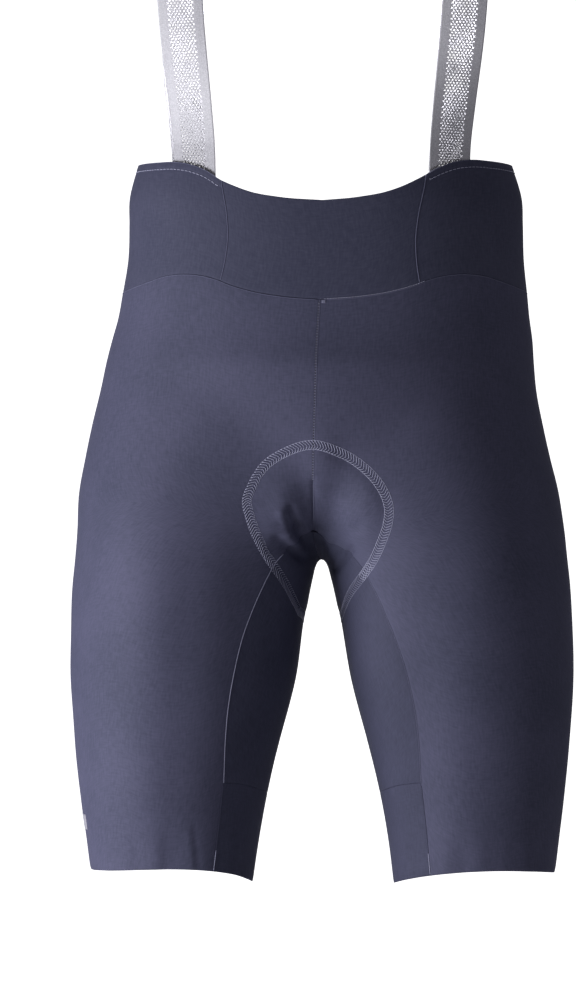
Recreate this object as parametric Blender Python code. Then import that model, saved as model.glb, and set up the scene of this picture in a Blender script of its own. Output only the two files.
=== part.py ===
# Cycling bib shorts in the pose of a worn garment: a two-part waistband, two leg panels,
# two inner leg panels with cuff pieces, and two open mesh straps over the shoulders.
# Tables and functions are in millimetres, X to the wearer's left, Y to the back, Z up,
# with heights counted from the crotch. The finished objects are in metres, and their
# origin lies midway between the two straps, under their tops, where the shoulders carry them.

import bpy
import numpy as np

MM = 0.001
WALL = 1.2               # one layer of firm stretch knit
SEAM_GAP = 0.3           # between two panels at a seam
OVAL = 2.3               # power of the rounded oval that each level's section follows

STRAP_WALL = 1.0
STRAP_WIDTH = 34.0
STRAP_TOP = 727.0        # height of the strap's outer face at the shoulder
STRAP_BEHIND = 2.0       # from the waistband's outer face to the strap's outer face
STRAP_BOW = 1.2          # hollow of the strap over its width

GUSSET_FRONT = 21.0      # height where the front centre seam splits round the gusset
GUSSET_BACK = 50.0       # the same at the back

# Level by level: the wearer's outer side, the inner side of each leg (past the middle
# above the crotch), the front, the back, and how softly the two legs run together
SECTIONS = (
    # height, outer, inner, front, back, blend
    (312.0, 134.0, -134.0, -99.0, 96.0, 0.0),
    (296.0, 139.0, -139.0, -100.0, 96.0, 0.0),
    (283.0, 143.3, -143.3, -101.0, 95.0, 0.0),
    (268.0, 146.8, -146.8, -102.5, 94.0, 0.0),
    (250.0, 147.2, -147.2, -104.0, 94.0, 0.0),
    (223.0, 148.0, -148.0, -105.5, 98.0, 0.0),
    (196.0, 151.6, -151.6, -106.0, 107.0, 0.0),
    (180.0, 153.7, -150.5, -105.7, 113.5, 4.0),
    (165.0, 156.6, -145.0, -105.0, 119.0, 16.0),
    (148.0, 159.4, -130.0, -104.2, 124.0, 28.0),
    (125.0, 163.0, -103.0, -103.2, 129.0, 36.0),
    (100.0, 168.2, -76.0, -102.4, 133.0, 40.0),
    (75.0, 173.4, -53.0, -101.8, 135.0, 38.0),
    (50.0, 178.8, -32.0, -100.8, 133.5, 34.0),
    (22.0, 182.0, -8.0, -99.2, 126.0, 26.0),
    (0.0, 184.0, 4.0, -98.0, 117.0, 16.0),
    (-17.0, 185.6, 8.6, -97.0, 108.0, 14.0),
    (-47.0, 187.2, 14.6, -95.2, 97.0, 12.0),
    (-92.0, 188.2, 21.8, -90.5, 87.0, 10.0),
    (-137.0, 185.3, 33.0, -83.5, 79.0, 10.0),
    (-182.0, 180.4, 43.9, -76.5, 71.0, 10.0),
    (-222.0, 175.0, 50.8, -70.5, 63.5, 10.0),
    (-262.0, 169.8, 56.0, -65.0, 56.0, 10.0),
)

# The front seams wander a little to the wearer's right of the middle
SEAM_DRIFT = (
    # height, sideways
    (296.0, 1.2), (250.0, 0.0), (205.0, -1.9), (189.0, -2.5), (150.0, -4.7), (120.0, -5.6),
    (75.0, -6.8), (40.0, -6.9), (21.0, -6.2), (10.0, -3.4), (-20.0, -1.8), (-53.0, -1.6),
    (-81.0, -0.9), (-122.0, 0.0), (-260.0, 0.0),
)

# Top edge of the waistband and the seam under it, by the angle round the body from the front
WAIST_TOP = {
    # side: (angle, height) from the front round to the back
    -1: ((0.0, 262.1), (18.1, 264.6), (30.1, 269.0), (35.5, 273.0), (40.6, 277.7), (46.3, 285.2),
         (52.1, 289.8), (58.1, 292.0), (65.3, 292.4), (76.2, 292.8), (90.0, 293.4), (112.0, 293.2),
         (128.0, 290.6), (140.0, 285.0), (150.0, 280.0), (162.0, 275.5), (180.0, 273.0)),
    1: ((0.0, 262.1), (15.2, 264.6), (26.9, 269.0), (32.4, 273.0), (38.0, 278.6), (44.6, 286.2),
        (50.8, 291.4), (57.2, 293.6), (65.0, 293.6), (76.2, 293.2), (90.0, 293.4), (112.0, 293.2),
        (128.0, 290.6), (140.0, 285.0), (150.0, 280.0), (162.0, 275.5), (180.0, 273.0)),
}
WAIST_SEAM = (
    # angle, height
    (0.0, 189.6), (15.1, 191.8), (26.8, 195.8), (34.5, 200.4), (40.1, 205.0), (46.4, 208.2),
    (52.6, 209.1), (58.5, 208.0), (65.0, 204.6), (74.0, 200.8), (88.0, 198.6), (120.0, 197.0),
    (180.0, 196.0),
)
# The upright waist seams bow towards each other halfway down
WAIST_UPRIGHT = (
    # height, sideways from the middle
    (292.0, 75.6), (276.0, 74.4), (250.0, 69.8), (235.0, 68.6), (220.0, 69.6), (196.0, 74.0),
)

# Seams round the gusset and down the inner leg, by height
INSEAM_FRONT = (
    # height, sideways
    (21.0, 0.0), (16.5, 8.0), (11.0, 16.2), (4.0, 24.5), (-4.0, 30.4), (-11.0, 34.2), (-20.0, 38.6),
    (-31.5, 44.0), (-43.5, 49.0), (-58.0, 54.6), (-73.5, 59.4), (-91.0, 63.8), (-112.5, 67.8),
    (-136.0, 70.2), (-165.0, 71.4),
)
INSEAM_BACK = (
    # height, sideways
    (50.0, 0.0), (40.0, 13.0), (28.0, 24.0), (12.0, 34.0), (-10.0, 43.0), (-35.0, 51.0),
    (-65.0, 58.0), (-100.0, 64.0), (-140.0, 68.0), (-178.0, 70.0),
)
CROSS_SEAM = (
    # share of the way from front to back, height
    (0.0, -164.8), (0.14, -167.4), (0.3, -171.8), (0.5, -175.5), (0.75, -177.5), (1.0, -178.0),
)
CUFF_FRONT_HEM = 79.6    # sideways place of the cuff seams at the hem
CUFF_BACK_HEM = 78.0
HEM = {
    # side: heights of the hem at the leg's front, outer side, back and inner side
    -1: (-228.2, -232.0, -235.0, -242.3),
    1: (-230.0, -235.2, -236.5, -243.2),
}
HEM_SWEEP = {-1: 2.6, 1: 0.4}  # how much lower the front of the hem is outside than inside

# The wearer stands a little to one side: the form shifts sideways by these amounts
LEAN = (
    # height, at the right outer side, right inner, left inner, left outer side
    (312.0, 3.4, 3.2, 3.2, 3.0),
    (222.0, 3.4, 3.2, 3.2, 3.0),
    (200.0, 2.2, 2.4, 2.4, 2.6),
    (178.0, 0.7, 1.4, 1.4, 2.2),
    (163.0, -0.8, 0.6, 0.6, 1.5),
    (148.0, -2.2, 0.0, 0.0, 0.0),
    (133.0, -3.0, 0.0, 0.0, -1.2),
    (43.0, -2.8, 0.0, 0.0, -0.4),
    (20.0, -1.2, 0.0, 0.0, 0.6),
    (0.0, -0.8, 0.4, 0.0, 0.7),
    (-31.0, -0.7, 1.4, 0.0, 0.7),
    (-61.0, 0.0, 2.4, -0.3, 0.7),
    (-85.0, 0.0, 3.0, 0.0, 0.7),
    (-110.0, 0.3, 2.6, 0.6, 0.7),
    (-150.0, 0.0, 1.6, 1.3, 0.7),
    (-182.0, 0.7, 2.2, 0.9, 0.5),
    (-215.0, 1.5, 2.4, 0.8, 0.3),
    (-262.0, 1.5, 2.4, 0.8, 0.2),
)
# Fullness of the front beside the groove, held out by the seat pad
FULLNESS = (
    # x, z, half width, half height, amount
    (-25.0, 36.0, 15.0, 25.0, 6.0),
    (25.0, 36.0, 15.0, 25.0, 6.0),
    (0.0, 66.0, 14.0, 22.0, 3.5),
)
# Soft folds where the cloth gathers beside the crotch
FOLDS = (
    # from x, from z, to x, to z, half width, depth
    (-27.0, 28.0, -13.0, 15.0, 5.0, 1.6),
    (-33.0, 9.0, -15.0, 2.0, 5.0, 1.8),
    (26.0, 24.0, 12.0, 13.0, 5.0, 1.2),
    (21.0, 8.0, 11.0, -7.0, 5.0, 1.6),
)

# Middle line of the wearer's left strap, from the front of the waist to the back
STRAP_PATH = (
    # x, y, z, turn of its width
    (94.0, -79.0, 279.0, 25.0),
    (94.5, -80.0, 296.0, 25.0),
    (97.7, -86.0, 335.0, 20.0),
    (100.8, -93.0, 370.0, 15.0),
    (103.7, -101.0, 407.0, 12.0),
    (105.5, -112.0, 460.0, 10.0),
    (106.0, -120.0, 520.0, 8.0),
    (104.0, -116.0, 590.0, 6.0),
    (99.0, -92.0, 656.0, 3.0),
    (95.0, -50.0, 708.0, 1.0),
    (93.0, 0.0, 727.0, 0.0),
    (95.0, 48.0, 712.0, -1.0),
    (100.5, 84.0, 664.0, -4.0),
    (105.0, 99.0, 600.0, -8.0),
    (107.0, 97.0, 520.0, -12.0),
    (106.0, 88.0, 440.0, -16.0),
    (104.6, 80.0, 370.0, -20.0),
    (100.2, 75.0, 318.0, -25.0),
    (98.5, 74.0, 290.0, -26.0),
    (98.0, 74.0, 273.0, -26.0),
)

CLOTH = (0.062, 0.066, 0.112)
MESH_CLOTH = (0.66, 0.66, 0.69)


def read(table, at):
    """Columns of a table at the given first-column values, run smoothly between the rows."""
    rows = np.array(sorted(table), dtype=float)
    knot, value = rows[:, 0], rows[:, 1:]
    slope = np.gradient(value, knot, axis=0)
    at = np.clip(np.asarray(at, dtype=float), knot[0], knot[-1])
    k = np.clip(np.searchsorted(knot, at, side="right") - 1, 0, len(knot) - 2)
    span = knot[k + 1] - knot[k]
    t = ((at - knot[k]) / span)[..., None]
    span = span[..., None]
    out = ((2 * t ** 3 - 3 * t ** 2 + 1) * value[k] + (t ** 3 - 2 * t ** 2 + t) * span * slope[k]
           + (3 * t ** 2 - 2 * t ** 3) * value[k + 1] + (t ** 3 - t ** 2) * span * slope[k + 1])
    return [out[..., i] for i in range(out.shape[-1])]


def section(z):
    """One leg's section at a height: its middle, its half sizes and how softly the legs join."""
    outer, inner, front, back, blend = read(SECTIONS, z)
    sideways = np.maximum((outer + inner) / 2, 0)
    return (sideways, (front + back) / 2, outer - sideways, (back - front) / 2,
            np.clip(blend, 1e-3, 1e-3 + 1.8 * sideways))


def outside_leg(x, y, z, side):
    """How far a point lies outside one leg's rounded oval, less than nought inside it."""
    sideways, along, half_width, half_depth, blend = section(z)
    dx, dy = x - side * sideways, y - along
    ratio = (np.abs(dx / half_width) ** OVAL + np.abs(dy / half_depth) ** OVAL) ** (1 / OVAL)
    ratio = np.maximum(ratio, 1e-4)
    return np.maximum(np.hypot(dx, dy), 1e-3) * (1 - 1 / ratio)


def fold_depth(x, y, z):
    """Depth of the soft folds at a place on the front."""
    depth = 0.0
    for x0, z0, x1, z1, half, deep in FOLDS:
        along = ((x - x0) * (x1 - x0) + (z - z0) * (z1 - z0)) / ((x1 - x0) ** 2 + (z1 - z0) ** 2)
        along = np.clip(along, 0, 1)
        away = np.hypot(x - x0 - along * (x1 - x0), z - z0 - along * (z1 - z0))
        depth = depth + deep * np.exp(-(away / half) ** 2)
    return depth * (1 / (1 + np.exp((y + 25.0) / 6.0)))


def lean(x, z):
    """Sideways shift of the worn form at a place, from the four columns of its table."""
    right_out, right_in, left_in, left_out = read(LEAN, z)
    return (right_in + (left_in - right_in) * np.clip((x + 15.0) / 30.0, 0, 1)
            + (left_out - left_in) * np.clip((x - 15.0) / 155.0, 0, 1)
            + (right_out - right_in) * np.clip((-x - 15.0) / 155.0, 0, 1))


def fullness(x, y, z):
    """Extra fullness of the front over the pad."""
    extra = 0.0
    for x0, z0, wide, high, amount in FULLNESS:
        extra = extra + amount * np.exp(-((x - x0) / wide) ** 2 - ((z - z0) / high) ** 2)
    return extra / (1 + np.exp((y + 25.0) / 6.0))


def form(x, y, z):
    """The body's form: two leg tubes that run together over the crotch."""
    extra = fold_depth(x, y, z) - fullness(x, y, z)
    x = x - lean(x, z)
    left, right = outside_leg(x, y, z, 1), outside_leg(x, y, z, -1)
    soft = section(z)[-1]
    near = np.maximum(soft - np.abs(left - right), 0) / soft
    return np.minimum(left, right) - near ** 2 * soft / 4 + extra


def facing(points):
    """Unit directions straight out of the form at the given points."""
    step = 0.4
    x, y, z = points[..., 0], points[..., 1], points[..., 2]
    out = np.stack([form(x + step, y, z) - form(x - step, y, z),
                    form(x, y + step, z) - form(x, y - step, z),
                    form(x, y, z + step) - form(x, y, z - step)], axis=-1)
    return out / np.linalg.norm(out, axis=-1, keepdims=True)


def first_face(start, direction, reach, steps=160):
    """First place where each ray crosses the form's face, going from start along direction."""
    start, direction = np.broadcast_arrays(np.asarray(start, float), np.asarray(direction, float))
    travel = np.linspace(0, reach, steps)
    line = start[..., None, :] + direction[..., None, :] * travel[:, None]
    value = form(line[..., 0], line[..., 1], line[..., 2])
    crossed = np.sign(value[..., 1:]) != np.sign(value[..., :1])
    hit = np.argmax(crossed, axis=-1)
    low, high = travel[hit], travel[np.minimum(hit + 1, steps - 1)]
    first = np.sign(value[..., 0])
    for _ in range(34):
        mid = (low + high) / 2
        point = start + direction * mid[..., None]
        same = np.sign(form(point[..., 0], point[..., 1], point[..., 2])) == first
        low, high = np.where(same, mid, low), np.where(same, high, mid)
    return start + direction * ((low + high) / 2)[..., None]


def front_at(x, z):
    x, z = np.broadcast_arrays(np.asarray(x, float), np.asarray(z, float))
    return first_face(np.stack([x, np.full(x.shape, -170.0), z], -1), (0, 1, 0), 200)


def back_at(x, z):
    x, z = np.broadcast_arrays(np.asarray(x, float), np.asarray(z, float))
    return first_face(np.stack([x, np.full(x.shape, 190.0), z], -1), (0, -1, 0), 200)


def under_at(x, y):
    x, y = np.broadcast_arrays(np.asarray(x, float), np.asarray(y, float))
    return first_face(np.stack([x, y, np.full(x.shape, -60.0)], -1), (0, 0, 1), 150)


def round_leg(angle, z, side):
    """Point of the form at an angle round one leg: 0 front, 90 outside, 180 back, -90 inside."""
    angle, z = np.broadcast_arrays(np.asarray(angle, float), np.asarray(z, float))
    cx, cy = section(z)[:2]
    turn = np.radians(angle)
    way = np.stack([side * np.sin(turn), -np.cos(turn), np.zeros(turn.shape)], -1)
    return first_face(np.stack([side * cx, cy, z], -1), way, 190)


def angle_of(points, side, back=False):
    """Angle round one leg of the given points."""
    cx, cy = section(points[..., 2])[:2]
    angle = np.degrees(np.arctan2(side * (points[..., 0] - side * cx), -(points[..., 1] - cy)))
    return np.where(angle < -60, angle + 360, angle) if back else angle


def blend_grid(top, bottom, near, far, across, down):
    """Values inside a four-sided panel from those on its edges."""
    u, v = across[None, :], down[:, None]
    return ((1 - v) * top[None, :] + v * bottom[None, :]
            + (1 - u) * (near - (1 - down) * near[0] - down * near[-1])[:, None]
            + u * (far - (1 - down) * far[0] - down * far[-1])[:, None])


def drift(z):
    return read(SEAM_DRIFT, z)[0]


def upright(z, side):
    """Upright seam between the front and side waist panels."""
    return front_at(drift(z) + side * read(WAIST_UPRIGHT, z)[0], z)


def upright_ends(side):
    """Angles of the upright seam at its top and bottom, found where it meets both edges."""
    angles = []
    for edge in (WAIST_TOP[side], WAIST_SEAM):
        z = 240.0
        for _ in range(40):
            point = upright(z, side)
            angle = float(angle_of(point, side))
            z = z + 0.7 * (float(read(edge, angle)[0]) - z)
        angles.append((angle, z))
    return angles


def close_panel(name, grid, wall_dir, wall, colour, trim):
    """Solid panel from a grid on its outer face: edges drawn in by half the seam gap."""
    rows, cols = grid.shape[:2]
    pulled = grid.copy()
    for edge, inner, along in ((0, 1, "row"), (rows - 1, rows - 2, "row"),
                               (0, 1, "col"), (cols - 1, cols - 2, "col")):
        line = grid[edge] if along == "row" else grid[:, edge]
        nextline = grid[inner] if along == "row" else grid[:, inner]
        run = np.gradient(line, axis=0)
        run /= np.linalg.norm(run, axis=-1, keepdims=True)
        pull = np.cross(run, wall_dir[edge] if along == "row" else wall_dir[:, edge])
        pull /= np.linalg.norm(pull, axis=-1, keepdims=True)
        pull *= np.sign(np.sum(pull * (nextline - line), axis=-1, keepdims=True))
        if along == "row":
            pulled[edge] += pull * trim
        else:
            pulled[:, edge] += pull * trim
    outer, inner = pulled, pulled - wall_dir * wall
    verts = np.concatenate([outer.reshape(-1, 3), inner.reshape(-1, 3)])
    verts = (verts - np.array([0.0, 0.0, STRAP_TOP - STRAP_WALL])) * MM
    count = rows * cols
    faces = []
    for i in range(rows - 1):
        for j in range(cols - 1):
            a, b, c, d = i * cols + j, i * cols + j + 1, (i + 1) * cols + j + 1, (i + 1) * cols + j
            faces.append((a, b, c, d))
            faces.append((a + count, d + count, c + count, b + count))
    ring = ([j for j in range(cols)] + [i * cols + cols - 1 for i in range(1, rows)]
            + [(rows - 1) * cols + j for j in range(cols - 2, -1, -1)]
            + [i * cols for i in range(rows - 2, 0, -1)])
    for k, a in enumerate(ring):
        b = ring[(k + 1) % len(ring)]
        faces.append((b, a, a + count, b + count))
    m, n = rows // 2, cols // 2
    turned = np.dot(np.cross(grid[m, n + 1] - grid[m, n], grid[m + 1, n] - grid[m, n]), wall_dir[m, n])
    if turned < 0:
        faces = [face[::-1] for face in faces]
    mesh = bpy.data.meshes.new(name)
    mesh.from_pydata(verts.tolist(), [], faces)
    mesh.update()
    mesh.shade_smooth()
    mesh.set_sharp_from_angle(angle=np.radians(50))
    mesh.materials.append(plain_material(name + "_cloth", colour))
    obj = bpy.data.objects.new(name, mesh)
    bpy.context.scene.collection.objects.link(obj)
    return obj


def plain_material(name, colour):
    mat = bpy.data.materials.new(name)
    mat.use_nodes = True
    shader = mat.node_tree.nodes["Principled BSDF"]
    shader.inputs["Base Color"].default_value = (*colour, 1)
    shader.inputs["Roughness"].default_value = 0.85
    shader.inputs["Metallic"].default_value = 0.0
    return mat


# How finely each panel is divided
WAIST_ROWS = 8
FRONT_COLS = 14
SIDE_COLS = 20
LEG_FRONT_COLS = 7       # columns of the leg panel under the front waist panel
CENTRE_ROWS = 8
INSEAM_ROWS = 15
CUFF_ROWS = 4
INNER_COLS = 12
STRAP_ROWS = 64
STRAP_COLS = 4


def waist_front():
    (top_r, z_top_r), (low_r, z_low_r) = upright_ends(-1)
    (top_l, z_top_l), (low_l, z_low_l) = upright_ends(1)
    across, down = np.linspace(0, 1, FRONT_COLS + 1), np.linspace(0, 1, WAIST_ROWS + 1)
    top_angle = -top_r + across * (top_l + top_r)
    low_angle = -low_r + across * (low_l + low_r)
    right = upright(z_top_r + down * (z_low_r - z_top_r), -1)
    left = upright(z_top_l + down * (z_low_l - z_top_l), 1)
    angle = blend_grid(top_angle, low_angle, -angle_of(right, -1), angle_of(left, 1), across, down)
    top = np.where(top_angle < 0, read(WAIST_TOP[-1], -top_angle)[0], read(WAIST_TOP[1], top_angle)[0])
    height = blend_grid(top, read(WAIST_SEAM, np.abs(low_angle))[0], right[:, 2], left[:, 2],
                        across, down)
    grid = round_leg(angle, height, 1)
    grid[:, 0], grid[:, -1] = right, left
    return close_panel("waist_front", grid, facing(grid), WALL, CLOTH, SEAM_GAP / 2)


def waist_side(name, side):
    (top, z_top), (low, z_low) = upright_ends(side)
    across, down = np.linspace(0, 1, SIDE_COLS + 1), np.linspace(0, 1, WAIST_ROWS + 1)
    top_angle, low_angle = top + across * (180 - top), low + across * (180 - low)
    front = upright(z_top + down * (z_low - z_top), side)
    back_z = np.linspace(WAIST_TOP[side][-1][1], WAIST_SEAM[-1][1], WAIST_ROWS + 1)
    angle = blend_grid(top_angle, low_angle, angle_of(front, side), np.full(down.shape, 180.0),
                       across, down)
    height = blend_grid(read(WAIST_TOP[side], top_angle)[0], read(WAIST_SEAM, low_angle)[0],
                        front[:, 2], back_z, across, down)
    grid = round_leg(angle, height, side)
    grid[:, 0] = front
    return close_panel(name, grid, facing(grid), WALL, CLOTH, SEAM_GAP / 2)


def inseam_steps():
    return np.linspace(0, 1, INSEAM_ROWS + 1) ** 1.55


def front_inseam(side):
    z = GUSSET_FRONT + inseam_steps() * (INSEAM_FRONT[-1][0] - GUSSET_FRONT)
    return front_at(drift(z) + side * read(INSEAM_FRONT, z)[0], z)


def back_inseam(side):
    z = GUSSET_BACK + inseam_steps() * (INSEAM_BACK[-1][0] - GUSSET_BACK)
    return back_at(side * read(INSEAM_BACK, z)[0], z)


def hem_height(angle, side):
    """Height of the hem by the angle round the leg."""
    turn = np.radians(angle)
    front, outer, back, inner = HEM[side]
    mean = (front + back + outer + inner) / 4
    sweep = HEM_SWEEP[side] * np.sin(2 * turn) * (1 + np.cos(turn)) / 2
    return (mean - sweep + (front - back) / 2 * np.cos(turn) + (outer - inner) / 2 * np.sin(turn)
            + (front + back - outer - inner) / 4 * np.cos(2 * turn))


def cuff_seam(start, x_hem, side, face):
    """Seam from the end of the inseam down to the hem, on the front or the back of the leg."""
    x0, z0 = start[0], start[2]
    x1, z1 = side * x_hem, HEM[side][0]
    for _ in range(20):
        end = face(x1, z1)
        z1 = float(hem_height(float(angle_of(end, side)), side))
    down = np.linspace(0, 1, CUFF_ROWS + 1)
    return face(x0 + down * (x1 - x0), z0 + down * (z1 - z0))


def centre_seam(face, z_low, sideways, angle):
    """Front or back centre seam from the waist seam down to the gusset."""
    z_top = float(read(WAIST_SEAM, angle)[0])
    z = z_top + np.linspace(0, 1, CENTRE_ROWS + 1) * (z_low - z_top)
    return face(sideways(z), z)


def leg_edges(side):
    centre = centre_seam(front_at, GUSSET_FRONT, drift, 1.4)
    inseam = front_inseam(side)
    cuff = cuff_seam(inseam[-1], CUFF_FRONT_HEM, side, front_at)
    front = np.concatenate([centre, inseam[1:], cuff[1:]])
    centre = centre_seam(back_at, GUSSET_BACK, lambda z: 0.0 * z, 180.0)
    inseam = back_inseam(side)
    cuff = cuff_seam(inseam[-1], CUFF_BACK_HEM, side, back_at)
    back = np.concatenate([centre, inseam[1:], cuff[1:]])
    return front, back


def leg_panel(name, side):
    front, back = leg_edges(side)
    low = upright_ends(side)[1][0]
    start = float(angle_of(front[0], side))
    top_angle = np.concatenate([start + np.linspace(0, 1, LEG_FRONT_COLS + 1) * (low - start),
                                low + np.linspace(0, 1, SIDE_COLS + 1)[1:] * (180 - low)])
    across = (top_angle - start) / (180 - start)
    fall = (front[:, 2] + back[:, 2]) / 2
    down = (fall[0] - fall) / (fall[0] - fall[-1])
    near, far = angle_of(front, side), angle_of(back, side, back=True)
    low_angle = near[-1] + across * (far[-1] - near[-1])
    top_z = read(WAIST_SEAM, np.abs(top_angle))[0]
    angle = blend_grid(top_angle, low_angle, near, far, across, down)
    height = blend_grid(top_z, hem_height(low_angle, side), front[:, 2], back[:, 2], across, down)
    grid = round_leg(angle, height, side)
    grid[:, 0], grid[:, -1] = front, back
    return close_panel(name, grid, facing(grid), WALL, CLOTH, SEAM_GAP / 2)


def crotch_line():
    """Seam under the crotch, from the front point of the gusset to the back point."""
    start = front_at(drift(GUSSET_FRONT), GUSSET_FRONT)
    end = back_at(0.0, GUSSET_BACK)
    along = np.linspace(0, 1, INNER_COLS + 1)
    y = start[1] + along * (end[1] - start[1])
    x = start[0] * np.clip(1 - 2.5 * along, 0, 1)
    line = under_at(x, y)
    line[0], line[-1] = start, end
    return line


def inner_leg(name, side):
    top = crotch_line()
    front, back = front_inseam(side), back_inseam(side)
    across, down = np.linspace(0, 1, INNER_COLS + 1), inseam_steps()
    near, far = angle_of(front, side), angle_of(back, side, back=True) - 360
    top_angle = angle_of(top, side)
    top_angle = np.where(top_angle > 60, top_angle - 360, top_angle)
    low_angle = near[-1] + across * (far[-1] - near[-1])
    angle = blend_grid(top_angle, low_angle, near, far, across, down)
    height = blend_grid(top[:, 2], read(CROSS_SEAM, across)[0], front[:, 2], back[:, 2], across, down)
    grid = round_leg(angle, height, side)
    grid[0], grid[:, 0], grid[:, -1] = top, front, back
    return close_panel(name, grid, facing(grid), WALL, CLOTH, SEAM_GAP / 2)


def cuff_inner(name, side):
    front = cuff_seam(front_inseam(side)[-1], CUFF_FRONT_HEM, side, front_at)
    back = cuff_seam(back_inseam(side)[-1], CUFF_BACK_HEM, side, back_at)
    across, down = np.linspace(0, 1, INNER_COLS + 1), np.linspace(0, 1, CUFF_ROWS + 1)
    near, far = angle_of(front, side), angle_of(back, side, back=True) - 360
    top_angle = near[0] + across * (far[0] - near[0])
    low_angle = near[-1] + across * (far[-1] - near[-1])
    angle = blend_grid(top_angle, low_angle, near, far, across, down)
    height = blend_grid(read(CROSS_SEAM, across)[0], hem_height(low_angle, side), front[:, 2], back[:, 2],
                        across, down)
    grid = round_leg(angle, height, side)
    grid[:, 0], grid[:, -1] = front, back
    return close_panel(name, grid, facing(grid), WALL, CLOTH, SEAM_GAP / 2)


def strap_grid(rows, cols, side):
    """Outer face of a strap and the directions straight out of it."""
    path = np.array(STRAP_PATH)
    run = np.concatenate([[0], np.cumsum(np.linalg.norm(np.diff(path[:, :3], axis=0), axis=1))])
    table = [tuple([run[i], *path[i]]) for i in range(len(path))]
    travel = np.linspace(0, run[-1], rows + 1)
    x, y, z, turn = read(table, travel)
    middle = np.stack([x, y, z], -1)
    ahead = np.gradient(middle, travel, axis=0)
    ahead /= np.linalg.norm(ahead, axis=-1, keepdims=True)
    width = np.stack([np.cos(np.radians(turn)), np.sin(np.radians(turn)), 0 * turn], -1)
    width -= ahead * np.sum(width * ahead, axis=-1, keepdims=True)
    width /= np.linalg.norm(width, axis=-1, keepdims=True)
    out = np.cross(width, ahead)
    share = np.linspace(-0.5, 0.5, cols + 1)
    grid = (middle[:, None] + width[:, None] * (share * STRAP_WIDTH)[None, :, None]
            + out[:, None] * (STRAP_BOW * (1 - 4 * share ** 2))[None, :, None])
    face = np.repeat(out[:, None], cols + 1, axis=1)
    # near the waistband the strap lies flat against the band's inner face
    flip = np.array([side, 1.0, 1.0])
    for i in range(rows + 1):
        look = front_at if travel[i] < run[-1] / 2 else back_at
        hold = float(np.clip((390.0 - z[i]) / 85.0, 0, 1))
        hold = hold * hold * (3 - 2 * hold)
        if hold > 0:
            band = look(side * grid[i, :, 0], np.minimum(grid[i, :, 2], 306.0))
            normal = facing(band)
            band = (band - normal * STRAP_BEHIND) * flip
            normal = normal * flip
            band[:, 2] = grid[i, :, 2]
            grid[i] = grid[i] + hold * (band - grid[i])
            face[i] = face[i] + hold * (normal - face[i])
    face /= np.linalg.norm(face, axis=-1, keepdims=True)
    return grid * flip, face * flip


def strap(name, side):
    grid, face = strap_grid(STRAP_ROWS, STRAP_COLS, side)
    return close_panel(name, grid, face, STRAP_WALL, MESH_CLOTH, 0.0)


def build():
    for obj in list(bpy.data.objects):
        bpy.data.objects.remove(obj)
    waist_front()
    waist_side("waist_side_L", 1)
    waist_side("waist_side_R", -1)
    leg_panel("leg_L", 1)
    leg_panel("leg_R", -1)
    inner_leg("inner_leg_L", 1)
    inner_leg("inner_leg_R", -1)
    cuff_inner("cuff_inner_L", 1)
    cuff_inner("cuff_inner_R", -1)
    strap("strap_L", 1)
    strap("strap_R", -1)


build()
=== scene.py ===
import bmesh
import bpy
import numpy as np
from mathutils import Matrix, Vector


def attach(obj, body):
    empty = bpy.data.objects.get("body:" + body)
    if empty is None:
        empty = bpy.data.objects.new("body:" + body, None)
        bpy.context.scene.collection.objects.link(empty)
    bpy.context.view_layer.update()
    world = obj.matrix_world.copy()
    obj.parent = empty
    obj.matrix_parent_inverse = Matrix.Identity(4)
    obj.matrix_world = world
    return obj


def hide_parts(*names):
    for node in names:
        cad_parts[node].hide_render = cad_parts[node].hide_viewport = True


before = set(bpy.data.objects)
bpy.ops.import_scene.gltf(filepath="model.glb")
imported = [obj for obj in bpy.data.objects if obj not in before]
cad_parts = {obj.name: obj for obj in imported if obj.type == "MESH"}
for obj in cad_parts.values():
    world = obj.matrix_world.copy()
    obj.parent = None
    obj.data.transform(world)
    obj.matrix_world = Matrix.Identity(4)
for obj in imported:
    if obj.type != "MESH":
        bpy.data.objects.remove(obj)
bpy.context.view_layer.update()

MM = 0.001
SHOULDER = 726.0         # height of the frame's origin over the crotch
WALL = 1.2               # thickness of the cloth
OVAL = 2.3               # exponent of the legs' oval sections: 2 is an ellipse
STRAP_WIDTH = 34.0
STRAP_BEHIND = 2.0       # how far a strap's ends lie inside the waistband's outer face
STRAP_BOW = 1.2          # how far a strap's middle bows out over its edges
STRAP_HOLD = (390.0, 85.0)  # height from which a strap turns to the waistband, and over how much
GUSSET_FRONT = 21.0      # heights where the inner leg panels meet the centre seams
GUSSET_BACK = 50.0
SEAM_HALF = 0.06         # half the slit between two panels
SEAM_SINK = 0.15         # how far the cloth dips at a seam
FREE_SINK = 0.25         # how far it rounds off at a free edge
HEM_FOLD = 5.6           # depth of the side panels' folded top hem
HEM_DOUBLE = 0.3         # how much the folded hem stands out

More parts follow.
